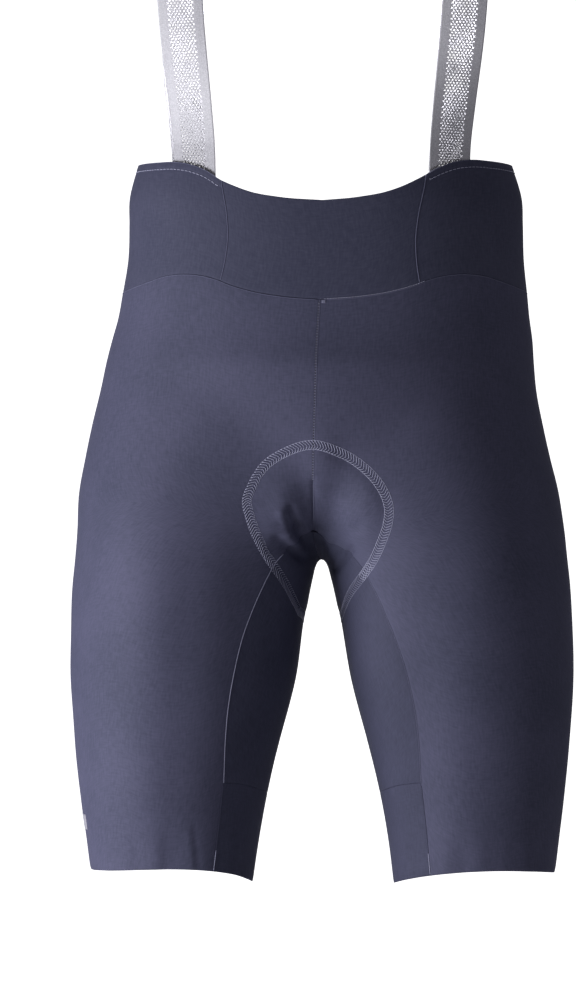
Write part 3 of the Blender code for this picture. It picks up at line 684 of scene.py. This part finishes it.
def pull_back(out, raw_low):
    """Sewn edges drawn back by half the slit that lies between two panels."""
    turned = np.swapaxes(out, 0, 1)
    edges = [(out, 0, 1), (turned, 0, 1), (turned, -1, -2)] + ([] if raw_low else [(out, -1, -2)])
    for view, edge, inner in edges:
        view[edge] += unit(view[inner] - view[edge]) * SEAM_HALF


# ---- meshes
UV_PER_MM = 0.01         # one unit of the cloth's UV is 100 mm


def grid_object(name, grid, normal, uv_u, uv_v, material, thick):
    """Sheet of quads on a grid of points in millimetres, thickened inwards by a modifier."""
    rows, cols = grid.shape[:2]
    bm = bmesh.new()
    uv_layer = bm.loops.layers.uv.new("cloth")
    bmesh.ops.create_grid(bm, x_segments=cols - 1, y_segments=rows - 1, size=0.5)
    bm.verts.ensure_lookup_table()
    place = (grid - np.array([0.0, 0.0, SHOULDER])) * MM
    index = []
    for v in bm.verts:
        j = int(round((v.co.x + 0.5) * (cols - 1)))
        i = int(round((v.co.y + 0.5) * (rows - 1)))
        index.append((i, j))
        v.co = place[i, j]
    for face in bm.faces:
        for loop in face.loops:
            i, j = index[loop.vert.index]
            loop[uv_layer].uv = (uv_u[i, j] * UV_PER_MM, uv_v[i, j] * UV_PER_MM)
        face.smooth = True
    m, n = rows // 2, cols // 2
    across, down = grid[m, n + 1] - grid[m, n], grid[m + 1, n] - grid[m, n]
    if np.dot(np.cross(across, down), normal[m, n]) < 0:
        bmesh.ops.reverse_faces(bm, faces=bm.faces[:])
    mesh = bpy.data.meshes.new(name)
    bm.to_mesh(mesh)
    bm.free()
    return finish_object(name, mesh, material, thick)


def finish_object(name, mesh, material, thick=0.0, offset=-1.0):
    obj = bpy.data.objects.new(name, mesh)
    bpy.context.scene.collection.objects.link(obj)
    mesh.materials.append(material)
    if thick:
        wall = obj.modifiers.new("wall", "SOLIDIFY")
        wall.thickness = thick * MM
        wall.offset = offset
        wall.use_even_offset = False
    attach(obj, "root")
    return obj


class Soup:
    """Gathers many small tubes into one mesh."""

    def __init__(self):
        self.verts, self.faces, self.count = [], [], 0

    def tube(self, points, radius, sides=5):
        points = np.asarray(points, float)
        ahead = unit(np.gradient(points, axis=0))
        # any direction well away from the one that the tube runs in
        helper = [0.13, 0.31, 0.94] if abs(ahead[0][2]) < 0.8 else [0.94, 0.2, 0.1]
        a = unit(np.cross(ahead, helper))
        b = np.cross(ahead, a)
        turn = np.arange(sides) * 2 * np.pi / sides
        radius = np.broadcast_to(np.asarray(radius, float), (len(points),))
        ring = (points[:, None] + radius[:, None, None]
                * (a[:, None] * np.cos(turn)[:, None] + b[:, None] * np.sin(turn)[:, None]))
        self.verts.append(ring.reshape(-1, 3))
        base = self.count
        for i in range(len(points) - 1):
            for k in range(sides):
                p, q = base + i * sides + k, base + i * sides + (k + 1) % sides
                self.faces.append((p, q, q + sides, p + sides))
        self.faces.append(tuple(base + k for k in reversed(range(sides))))
        last = base + (len(points) - 1) * sides
        self.faces.append(tuple(last + k for k in range(sides)))
        self.count += len(points) * sides

    def build(self, name, material):
        verts = (np.concatenate(self.verts) - np.array([0.0, 0.0, SHOULDER])) * MM
        mesh = bpy.data.meshes.new(name)
        mesh.from_pydata(verts.tolist(), [], self.faces)
        mesh.update()
        mesh.shade_smooth()
        bm = bmesh.new()
        bm.from_mesh(mesh)
        bmesh.ops.recalc_face_normals(bm, faces=bm.faces[:])
        bm.to_mesh(mesh)
        bm.free()
        return finish_object(name, mesh, material)


# ---- materials
def new_material(name, colour, roughness, **settings):
    mat = bpy.data.materials.new(name)
    mat.use_nodes = True
    shader = mat.node_tree.nodes["Principled BSDF"]
    for key, value in {"Base Color": colour, "Roughness": roughness, **settings}.items():
        shader.inputs[key].default_value = value
    return mat, mat.node_tree, shader


def node(tree, kind, feeds, **settings):
    """A shader node with its settings, and with each input in feeds linked to its socket."""
    made = tree.nodes.new(kind)
    for key, value in settings.items():
        if key in made.inputs:
            made.inputs[key].default_value = value
        else:
            setattr(made, key, value)
    for key, socket in feeds.items():
        tree.links.new(socket, made.inputs[key])
    return made


def knit_material(name, dark, light, streak):
    """Fine warp knit: hair-thin wales and courses, cloudy dye and faint cross streaks."""
    mat, tree, shader = new_material(name, linear(dark), 0.78, **{
        "Sheen Weight": 0.12, "Sheen Roughness": 0.45, "Sheen Tint": linear("#8f90b4"),
        "Specular IOR Level": 0.28})
    coord = node(tree, "ShaderNodeTexCoord", {})
    on_cloth = coord.outputs["UV"]
    cloud = node(tree, "ShaderNodeTexNoise", {"Vector": coord.outputs["Object"]}, Scale=14.0,
                 Detail=3.0)
    streaks = []
    for scale, detail in (((16.0, 75.0, 1.0), 4.0), ((70.0, 14.0, 1.0), 3.0)):
        stretch = node(tree, "ShaderNodeMapping", {"Vector": on_cloth}, Scale=scale)
        noise = node(tree, "ShaderNodeTexNoise", {"Vector": stretch.outputs["Vector"]}, Scale=1.0,
                     Detail=detail)
        streaks.append(noise.outputs["Fac"])
    cross, upright_streak = streaks
    total = node(tree, "ShaderNodeMath", {0: cross, 1: upright_streak}, operation="ADD")
    more = node(tree, "ShaderNodeMath", {0: total.outputs[0], 1: cloud.outputs["Fac"]},
                operation="ADD")
    # the three noises add up to 1.5 on average
    shade = node(tree, "ShaderNodeMapRange", {"Value": more.outputs[0]},
                 **{"From Min": 1.5 - streak, "From Max": 1.5 + streak})
    mix = node(tree, "ShaderNodeMix", {"Factor": shade.outputs["Result"]}, data_type="RGBA",
               A=linear(dark), B=linear(light))
    tree.links.new(mix.outputs["Result"], shader.inputs["Base Color"])
    # wales every 0.62 mm and courses every 0.5 mm
    bands = []
    for way, scale in (("X", 51.0), ("Y", 63.0)):
        wave = node(tree, "ShaderNodeTexWave", {"Vector": on_cloth}, wave_type="BANDS",
                    bands_direction=way, Scale=scale, Distortion=0.6)
        bands.append(wave.outputs["Fac"])
    loops = node(tree, "ShaderNodeMath", {0: bands[0], 1: bands[1]}, operation="MULTIPLY")
    height = node(tree, "ShaderNodeMath", {0: cross, 2: loops.outputs[0]},
                  operation="MULTIPLY_ADD")
    height.inputs[1].default_value = 0.8
    bump = node(tree, "ShaderNodeBump", {"Height": height.outputs[0]}, Strength=0.35,
                Distance=0.00012)
    tree.links.new(bump.outputs["Normal"], shader.inputs["Normal"])
    rough = node(tree, "ShaderNodeMapRange", {"Value": cross}, **{"To Min": 0.70, "To Max": 0.88})
    tree.links.new(rough.outputs["Result"], shader.inputs["Roughness"])
    return mat


def thread_material(name, dark, light):
    """Twisted sewing thread: fine diagonal plies, lighter where they stand up and darker between
    them as painted light and shade, and a soft shine.
    """
    mat, tree, shader = new_material(name, linear(light), 0.5, **{"Sheen Weight": 0.2})
    coord = node(tree, "ShaderNodeTexCoord", {})
    ply = node(tree, "ShaderNodeTexNoise", {"Vector": coord.outputs["Object"]}, Scale=1400.0,
               Detail=2.0)
    # raised plies take the light colour and the hollows between them the dark one: painted light
    # and shade, beside their bump
    mix = node(tree, "ShaderNodeMix", {"Factor": ply.outputs["Fac"]}, data_type="RGBA",
               A=linear(dark), B=linear(light))
    tree.links.new(mix.outputs["Result"], shader.inputs["Base Color"])
    bump = node(tree, "ShaderNodeBump", {"Height": ply.outputs["Fac"]}, Strength=0.4,
                Distance=0.0001)
    tree.links.new(bump.outputs["Normal"], shader.inputs["Normal"])
    return mat


def strap_material(name, dark, light):
    """Pale grey polyester mesh yarn with the small dimples of its loops, painted darker inside as
    shade.
    """
    mat, tree, shader = new_material(name, linear(light), 0.55, **{"Sheen Weight": 0.15})
    place = node(tree, "ShaderNodeTexCoord", {}).outputs["Object"]
    # loops a little over 1 mm apart
    dimples = node(tree, "ShaderNodeTexVoronoi", {"Vector": place}, Scale=900.0)
    fibre = node(tree, "ShaderNodeTexNoise", {"Vector": place}, Scale=900.0, Detail=3.0)
    pits = node(tree, "ShaderNodeMapRange", {"Value": dimples.outputs["Distance"]},
                **{"From Min": 0.1, "From Max": 0.55})
    total = node(tree, "ShaderNodeMath", {0: pits.outputs["Result"], 1: fibre.outputs["Fac"]},
                 operation="MULTIPLY")
    # the colour darkens into the dimples: painted shade, beside their bump
    mix = node(tree, "ShaderNodeMix", {"Factor": total.outputs[0]}, data_type="RGBA",
               A=linear(light), B=linear(dark))
    tree.links.new(mix.outputs["Result"], shader.inputs["Base Color"])
    bump = node(tree, "ShaderNodeBump", {"Height": total.outputs[0]}, Strength=0.5,
                Distance=0.0003, invert=True)
    tree.links.new(bump.outputs["Normal"], shader.inputs["Normal"])
    return mat


KNIT = knit_material("navy_stretch_knit", "#383a4f", "#484860", 0.36)
# darker than the leg knit: painted shade on the inner leg panels, the inner cuffs and their bonded
# seams, where the key light reaches less
KNIT_INNER_SHADED = knit_material("navy_inner_leg_knit_painted_shade", "#2d2f43", "#3b3c52", 0.36)
KNIT_WAIST = knit_material("navy_waist_knit", "#33354a", "#424358", 0.36)
# lighter than the leg knit: painted highlight along the seam ridges and the turned top edges of the
# waist
SEAM_CLOTH_LIT = knit_material("navy_seam_edge_painted_highlight", "#484960", "#65667f", 0.4)
THREAD = thread_material("lilac_grey_thread", "#7a7b98", "#b0b1cc")
# near-black rungs across the centre seams: painted shade in the needle holes between the stitches
HOLE_SHADE = thread_material("needle_hole_painted_shade", "#1c1c28", "#262634")
# darker copy of the lilac-grey thread: painted shade on the pad's overlock where it turns under;
# also the thread of the right inseam, the centre seam ladder and the hem-end ridges
THREAD_DIM = thread_material("lilac_grey_thread_dimmed", "#5c5d77", "#8f90ac")
LOCK_STITCH = thread_material("brown_grey_thread", "#3a3638", "#565052")
MESH_YARN = strap_material("pale_mesh_yarn", "#908f98", "#bfbec6")
REFLECT = new_material("plain_reflective_print", linear("#8c8b99"), 0.35)[0]


# ---- the cloth panels
def cloth(name, node_name, grid, flat, area, material, **edges):
    out, normal, run_u, run_v = panel_cloth(grid, **edges)
    piece = grid_object(name, out, normal, run_u, -run_v, material, WALL)
    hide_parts(node_name)


cloth("front_waist_panel", "waist_front", waist_front_grid(), (0.155, 0.085), 0.0100, KNIT_WAIST)
for side, tag in ((1, "L"), (-1, "R")):
    cloth(f"side_waist_panel_{tag}", f"waist_side_{tag}", waist_side_grid(side), (0.335, 0.105),
          0.0290, KNIT_WAIST, soft_top=True)
    cloth(f"leg_panel_{tag}", f"leg_{tag}", leg_grid(side), (0.44, 0.45), 0.168, KNIT, raw_low=True)
    cloth(f"inner_leg_panel_{tag}", f"inner_leg_{tag}", inner_grid(side), (0.20, 0.25), 0.034,
          KNIT_INNER_SHADED)
    cloth(f"inner_cuff_{tag}", f"cuff_inner_{tag}", cuff_grid(side), (0.155, 0.075), 0.0090,
          KNIT_INNER_SHADED, raw_low=True)


# ---- mesh straps
def strap_surface(rows, cols, side):
    """Outer face of a strap and the directions straight out of it."""
    path = np.array(STRAP_PATH)
    run = run_along(path[:, :3])
    table = [(run[i], *path[i]) for i in range(len(path))]
    travel = np.linspace(0, run[-1], rows + 1)
    x, y, z, turn = read(table, travel)
    middle = np.stack([x, y, z], -1)
    ahead = unit(np.gradient(middle, travel, axis=0))
    width = np.stack([np.cos(np.radians(turn)), np.sin(np.radians(turn)), 0 * turn], -1)
    width = unit(width - ahead * np.sum(width * ahead, axis=-1, keepdims=True))
    out = np.cross(width, ahead)
    share = np.linspace(-0.5, 0.5, cols + 1)
    grid = (middle[:, None] + width[:, None] * (share * STRAP_WIDTH)[None, :, None]
            + out[:, None] * (STRAP_BOW * (1 - 4 * share ** 2))[None, :, None])
    face = np.repeat(out[:, None], cols + 1, axis=1)
    # near the waistband the strap lies flat against the band's inner face
    hold = np.clip((STRAP_HOLD[0] - z) / STRAP_HOLD[1], 0, 1)
    hold = hold * hold * (3 - 2 * hold)
    half = travel < run[-1] / 2
    flip = np.array([side, 1.0, 1.0])
    for look, rows_here in ((front_at, half & (hold > 0)), (back_at, ~half & (hold > 0))):
        band = look(side * grid[rows_here, :, 0], np.minimum(grid[rows_here, :, 2], 306.0))
        normal = facing(band)
        band = (band - normal * STRAP_BEHIND) * flip
        normal = normal * flip
        band[..., 2] = grid[rows_here, :, 2]
        weight = hold[rows_here, None, None]
        grid[rows_here] += weight * (band - grid[rows_here])
        face[rows_here] += weight * (normal - face[rows_here])
    return grid * flip, unit(face) * flip, travel


def net_strap(side):
    """Strap knitted as a staggered net between two closed bands."""
    rows, cols, first, last = int(round(NET_LENGTH / NET_ROW)), NET_COLUMNS, NET_FIRST, NET_LAST
    grid, face, travel = strap_surface(rows, cols, side)
    ahead = unit(np.gradient(grid, axis=0))
    i, j = np.meshgrid(np.arange(cols + 1), np.arange(rows + 1))
    inside = (i >= first) & (i <= last) & (j > 0) & (j < rows)
    points = grid + ahead * (np.where((i + j) % 2, -0.5, 0.5) * NET_SLANT * inside)[..., None]
    points += face * (NET_EDGE * ((i == 0) | (i == cols)))[..., None]
    verts = [tuple(p) for p in points.reshape(-1, 3)]
    faces = []

    def at(column, row):
        return row * (cols + 1) + column

    for row in range(rows):
        start = first + row % 2
        quads = list(range(0, first)) + list(range(last, cols))
        if row % 2:
            quads += [first, last - 1]
        for c in quads:
            faces.append((at(c, row), at(c + 1, row), at(c + 1, row + 1), at(c, row + 1)))
        for c in range(start, last - 1, 2):
            ring = [at(c, row), at(c + 1, row), at(c + 2, row),
                    at(c + 2, row + 1), at(c + 1, row + 1), at(c, row + 1)]
            corners = np.array([verts[k] for k in ring])
            middle = corners.mean(axis=0)
            way = ahead[row, c + 1]
            along = ((corners - middle) @ way)[:, None] * way
            across = corners - middle - along
            share = net_opening(travel[row], (c - cols / 2) / (cols / 2))
            base = len(verts)
            inner = middle + across * NET_ACROSS * share + along * NET_ALONG * share
            verts.extend(map(tuple, inner))
            for k in range(6):
                n = (k + 1) % 6
                faces.append((ring[k], ring[n], base + n, base + k))
    verts = np.array(verts)
    if side < 0:
        faces = [f[::-1] for f in faces]
    mesh = bpy.data.meshes.new("net_strap")
    mesh.from_pydata(((verts - [0, 0, SHOULDER]) * MM).tolist(), [], faces)
    mesh.update()
    mesh.shade_smooth()
    tag = "L" if side > 0 else "R"
    strap = finish_object(f"net_strap_{tag}", mesh, MESH_YARN, YARN, 0.0)
    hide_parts(f"strap_{tag}")


def net_opening(run, across):
    """Share that each opening keeps: yarns crowd together here and there."""
    crowd = 0.5 + 0.5 * np.sin(run / 23.0 + 1.7 * across) * np.sin(run / 9.0 - 2.6 * across + 0.6)
    return 0.72 + 0.28 * crowd


for side in (1, -1):
    net_strap(side)


# ---- sewing
def lay(points, lift=0.1):
    """Points of the form brought onto the cloth's face and lifted off it."""
    points = np.asarray(points, float)
    return points + facing(points) * (relief(points) + lift)[..., None]


def spaced(points, step):
    """Evenly spaced points along a line, with the directions across it."""
    line = smooth_path(points, step)
    return line, np.cross(facing(line), unit(np.gradient(line, axis=0)))


def dashes(soup, points, stitch, gap, radius, lift=0.08):
    """Row of straight stitches, each sunk at its two needle holes."""
    step = 0.5
    line = smooth_path(points, step)
    laid, out = lay(line, lift), facing(line)
    per, hold = max(int(round(stitch / step)), 3), max(int(round(gap / step)), 1)
    dip = np.array([1.0 if k in (0, per) else 0.0 for k in range(per + 1)])
    for a in range(0, len(line) - per - 1, per + hold):
        part = slice(a, a + per + 1)
        soup.tube(laid[part] - out[part] * (dip * 0.22)[:, None], radius, 5)


def ridge(soup, points, radius, lift=0.0, step=1.4):
    """Round ridge or thread that runs along a line."""
    line = smooth_path(points, step)
    soup.tube(lay(line, lift), radius, 6)


def pad_overlock(soup, shaded):
    """Two rows of stitches and the looper threads that zigzag between them."""
    count = int(len(PAD) / PAD_PITCH)
    # each looper thread runs forward from the outer row, then hooks back to the inner one
    depth = np.array([0.0, 0.2, 0.4, 0.58, 0.72, 0.86, 1.0])
    ahead = np.array([0.0, 1.2, 2.3, 3.1, 3.0, 2.2, 1.3])
    start = np.arange(count) * len(PAD) / count
    x, z, half = DOUBLED
    over = np.argmin(np.hypot(PAD[:, 0] - x, PAD[:, 2] - z) + 200.0 * (PAD[:, 1] > 0))
    doubled = start[np.abs(start - over) < half]
    starts = np.concatenate([start, doubled + 0.4 * PAD_PITCH])
    flip = np.concatenate([np.ones(count), -np.ones(len(doubled))])
    run = starts[:, None] + flip[:, None] * ahead
    index = np.floor(run).astype(int) % len(PAD)
    part = (run - np.floor(run))[..., None]
    base = PAD[index] * (1 - part) + PAD[(index + 1) % len(PAD)] * part
    path = onto_form(base + PAD_IN[index] * (depth * PAD_BAND)[:, None], 3)
    arch = 0.16 + 0.5 * (depth - depth ** 2) * np.where(flip > 0, 0.3, 0.9)[:, None]
    for thread in lay(path, 0.0) + facing(path) * arch[..., None]:
        (soup if thread[0, 2] > PAD_SHADED else shaded).tube(thread, 0.2, 4)
    sink = np.array([0.22, 0.0, 0.0, 0.22])[:, None]
    for edge in (0.0, PAD_BAND):
        row = onto_form(PAD + PAD_IN * edge, 3)
        laid, out = lay(row, 0.14), facing(row)
        for s in start.astype(int):
            index = (s + np.arange(4)) % len(PAD)
            faint = PAD[s, 0] < -22.0 and PAD[s, 2] < 64.0 and PAD[s, 1] < 0.0
            (soup if PAD[s, 2] > PAD_SHADED else shaded).tube(
                laid[index] - out[index] * (sink + 0.1 * faint), 0.1 if faint else 0.16, 4)


def ladder(soup, points, pitch, half, radius):
    """Short threads that bridge a seam at an even pitch."""
    line, across = spaced(points, pitch)
    spread = np.array([-1.0, -0.4, 0.4, 1.0]) * half
    rungs = line[1:-1, None] + across[1:-1, None] * spread[:, None]
    for rung in lay(rungs, 0.0):
        soup.tube(rung, radius, 5)


# the pad's overlock: low down, where the front turns under, its thread is the darker copy, painted
# shade
overlock, overlock_shaded = Soup(), Soup()
pad_overlock(overlock, overlock_shaded)
overlock.build("pad_overlock_thread", THREAD)
overlock_shaded.build("pad_overlock_thread_painted_shade", THREAD_DIM)

seams, inseam_highlight, fine, bright, hole_shade_rungs, bonded = (Soup() for _ in range(6))
# centre front seam: stitches down to the fullness over the pad, a plain ridge below
z = np.linspace(float(read(WAIST_SEAM, 1.4)[0]) - 0.6, 58.0, 60)
# dark rungs: painted shade of the needle holes, with light thread rungs beside them
ladder(hole_shade_rungs, front_at(drift(z), z), CENTRE_PITCH, 0.42, 0.3)
ladder(fine, front_at(drift(z - 1.0), z - 1.0), CENTRE_PITCH, 0.5, 0.2)
ridge(seams, front_at(drift(z) + 0.8, z), 0.2)
z = np.linspace(58.0, GUSSET_FRONT + 2, 20)
ridge(seams, front_at(drift(z) + 0.5, z), 0.26)
# centre back seam
z = np.linspace(WAIST_SEAM[-1][1] - 0.6, GUSSET_BACK + 2, 50)
# dark rungs: painted shade of the needle holes
ladder(hole_shade_rungs, back_at(0 * z, z), CENTRE_PITCH, 0.38, 0.26)
ridge(seams, back_at(0 * z - 0.65, z), 0.22)
# inseams: on the right leg, which faces the key light, a thread lighter than the cloth stands for
# the light along it, painted highlight; the left has only a plain seam ridge
t = np.linspace(0.0, 1.0, 70)
ridge(inseam_highlight, front_inseam(np.linspace(0.094, 1.0, 60), -1), 0.34)
ridge(seams, front_inseam(np.linspace(0.17, 1.0, 60), 1), 0.22)
for side in (1, -1):
    ridge(seams, back_inseam(t, side), 0.3)
    angle = np.linspace(2.0, 178.0, 120)
    ridge(seams, round_leg(angle, read(WAIST_SEAM, angle)[0] - 0.7, side), 0.24)
    (top, z_top), (low, z_low) = upright_ends(side)
    ridge(seams, upright(np.linspace(z_top - 0.5, z_low + 0.5, 40), side), 0.35)
    angle = np.linspace(top + 1.2, 179.0, 160)
    hem_line = round_leg(angle, read(WAIST_TOP[side], angle)[0] - HEM_FOLD, side)
    dashes(bright, hem_line, 2.6, 0.9, 0.24, 0.2)
    # ridge along the turned top edge, in the lighter seam cloth: painted highlight
    ridge(seams, round_leg(angle, read(WAIST_TOP[side], angle)[0] - 0.45, side), 0.3, 0.1)
    start = front_inseam(np.array([1.0]), side)[0]
    cuff = cuff_seam(np.linspace(0.76, 0.985, 12), start, CUFF_FRONT_HEM, side, front_at)
    ridge(fine, cuff, 0.36, 0.05, 1.0)
    # above that ridge the seam is bonded flush
    cuff = cuff_seam(np.linspace(0.03, 0.78, 20), start, CUFF_FRONT_HEM, side, front_at)
    ridge(bonded, cuff, 0.3, -0.08)
# top stitches along the left part of the waist seam, and the bar tack at its middle
angle = np.linspace(0.5, 38.0, 50)
dashes(bright, round_leg(angle, read(WAIST_SEAM, angle)[0] + 0.1, 1), 1.5, 0.7, 0.2, 0.1)
for z in (188.6, 187.8, 187.0):
    fine.tube(lay(front_at(np.linspace(-0.6, 2.2, 6), z), 0.15), 0.28, 5)
seams.build("seam_ridges", SEAM_CLOTH_LIT)
inseam_highlight.build("inseam_painted_highlight", THREAD_DIM)
fine.build("hem_end_ridges", THREAD_DIM)
hole_shade_rungs.build("centre_seam_hole_shade", HOLE_SHADE)
bonded.build("bonded_cuff_seams", KNIT_INNER_SHADED)
bright.build("top_stitch_threads", THREAD)

# zigzag that holds each strap's end inside the waistband, seen just above the band's edge
locks = Soup()
for side in (1, -1):
    x = np.linspace(79.0, 103.0, 21)
    edge = read(WAIST_TOP[side], angle_of(front_at(side * x, np.full(21, 286.0)), side))[0]
    zigzag = front_at(side * x, edge + 0.6 + 1.6 * (np.arange(21) % 2))
    zigzag = zigzag - facing(zigzag) * (STRAP_BEHIND - 0.5)
    for k in range(20):
        locks.tube(np.linspace(zigzag[k], zigzag[k + 1], 3), 0.18, 5)
locks.build("strap_lock_threads", LOCK_STITCH)

# plain pale strip printed low on the right leg's outer face
angle, height = np.meshgrid(np.linspace(*PRINT_ANGLES, 22), np.linspace(*PRINT_HEIGHTS, 9))
grid = round_leg(angle, height, -1)
run = np.cumsum(np.ones(grid.shape[:2]), axis=1)
grid_object("hem_print", lay(grid, PRINT_LIFT), facing(grid), run, run, REFLECT, PRINT_THICK)

# ---- camera, light and backdrop
CAMERA_X, CAMERA_Z = -25.1, 43.5
CAMERA_AWAY = 3500.0     # from the middle of the form
FRAME_HEIGHT = 750.0     # what the frame shows at that distance
SENSOR = 36.0
scene = bpy.context.scene
camera = bpy.data.objects.new("camera", bpy.data.cameras.new("camera"))
scene.collection.objects.link(camera)
camera.location = (CAMERA_X * MM, -CAMERA_AWAY * MM, (CAMERA_Z - SHOULDER) * MM)
camera.rotation_euler = (np.pi / 2, 0, 0)
camera.data.sensor_width = SENSOR
camera.data.lens = SENSOR * CAMERA_AWAY / FRAME_HEIGHT
camera.data.clip_end = 60.0
scene.camera = camera


def studio_light(kind, name, place, target, power):
    light = bpy.data.lights.new(name, kind)
    light.energy = power
    obj = bpy.data.objects.new(name, light)
    scene.collection.objects.link(obj)
    obj.location = place
    obj.rotation_euler = (Vector(target) - Vector(place)).to_track_quat("-Z", "Y").to_euler()
    return light, obj


MIDDLE = (0.0, 0.0, -0.66)
AREA_LIGHTS = (
    # name, place, target, power, size
    ("key", (-1.24, -0.65, -0.94), MIDDLE, 29.5, 0.75),
    ("front_fill", (-0.3, -3.6, 0.2), MIDDLE, 7.0, 1.6),
    ("side_fill", (3.0, -1.1, -0.5), MIDDLE, 5.0, 1.4),
    ("inside_straps", (0.0, -0.02, -0.2), (0.0, 0.1, -0.36), 1.8, 0.16),
)
SPOT_LIGHTS = (
    # name, place, target, power, cone in degrees, softness of its edge, radius
    ("strap_light", (-0.02, -3.5, -0.35), (0.0, 0.0, 0.1), 30.0, 17.2, 0.03, 0.04),
    ("crotch_light", (-1.45, -3.1, -0.70), (0.008, -0.08, -0.748), 55.0, 1.5, 1.0, 0.05),
)
for name, place, target, power, size in AREA_LIGHTS:
    light, obj = studio_light("AREA", name, place, target, power)
    light.size = size
    obj.visible_camera = False
for name, place, target, power, cone, blend, radius in SPOT_LIGHTS:
    light, obj = studio_light("SPOT", name, place, target, power)
    light.spot_size = np.radians(cone)
    light.spot_blend = blend
    light.shadow_soft_size = radius


def plain_sheet(name, corners, colour, glow=0.0):
    mesh = bpy.data.meshes.new(name)
    mesh.from_pydata(corners, [], [(0, 1, 2, 3)])
    mesh.update()
    settings = {"Emission Color": (1, 1, 1, 1), "Emission Strength": glow} if glow else {}
    mesh.materials.append(new_material(name, colour, 0.9, **settings)[0])
    obj = bpy.data.objects.new(name, mesh)
    scene.collection.objects.link(obj)


# the backdrop stands beyond the reach of a camera that goes round the garment
plain_sheet("backdrop", [(-1.65, 4.8, -2.9), (1.65, 4.8, -2.9), (1.65, 4.8, 1.7),
                         (-1.65, 4.8, 1.7)], (0.9, 0.9, 0.9, 1), 1.0)
plain_sheet("floor", [(-4, -5, -1.75), (4, -5, -1.75), (4, 5, -1.75), (-4, 5, -1.75)],
            (0.8, 0.8, 0.81, 1))
world = bpy.data.worlds.new("studio")
scene.world = world
world.use_nodes = True
world.node_tree.nodes["Background"].inputs["Color"].default_value = (0.95, 0.93, 1.0, 1)
world.node_tree.nodes["Background"].inputs["Strength"].default_value = 0.14
scene.view_settings.view_transform = "Standard"
scene.view_settings.look = "None"
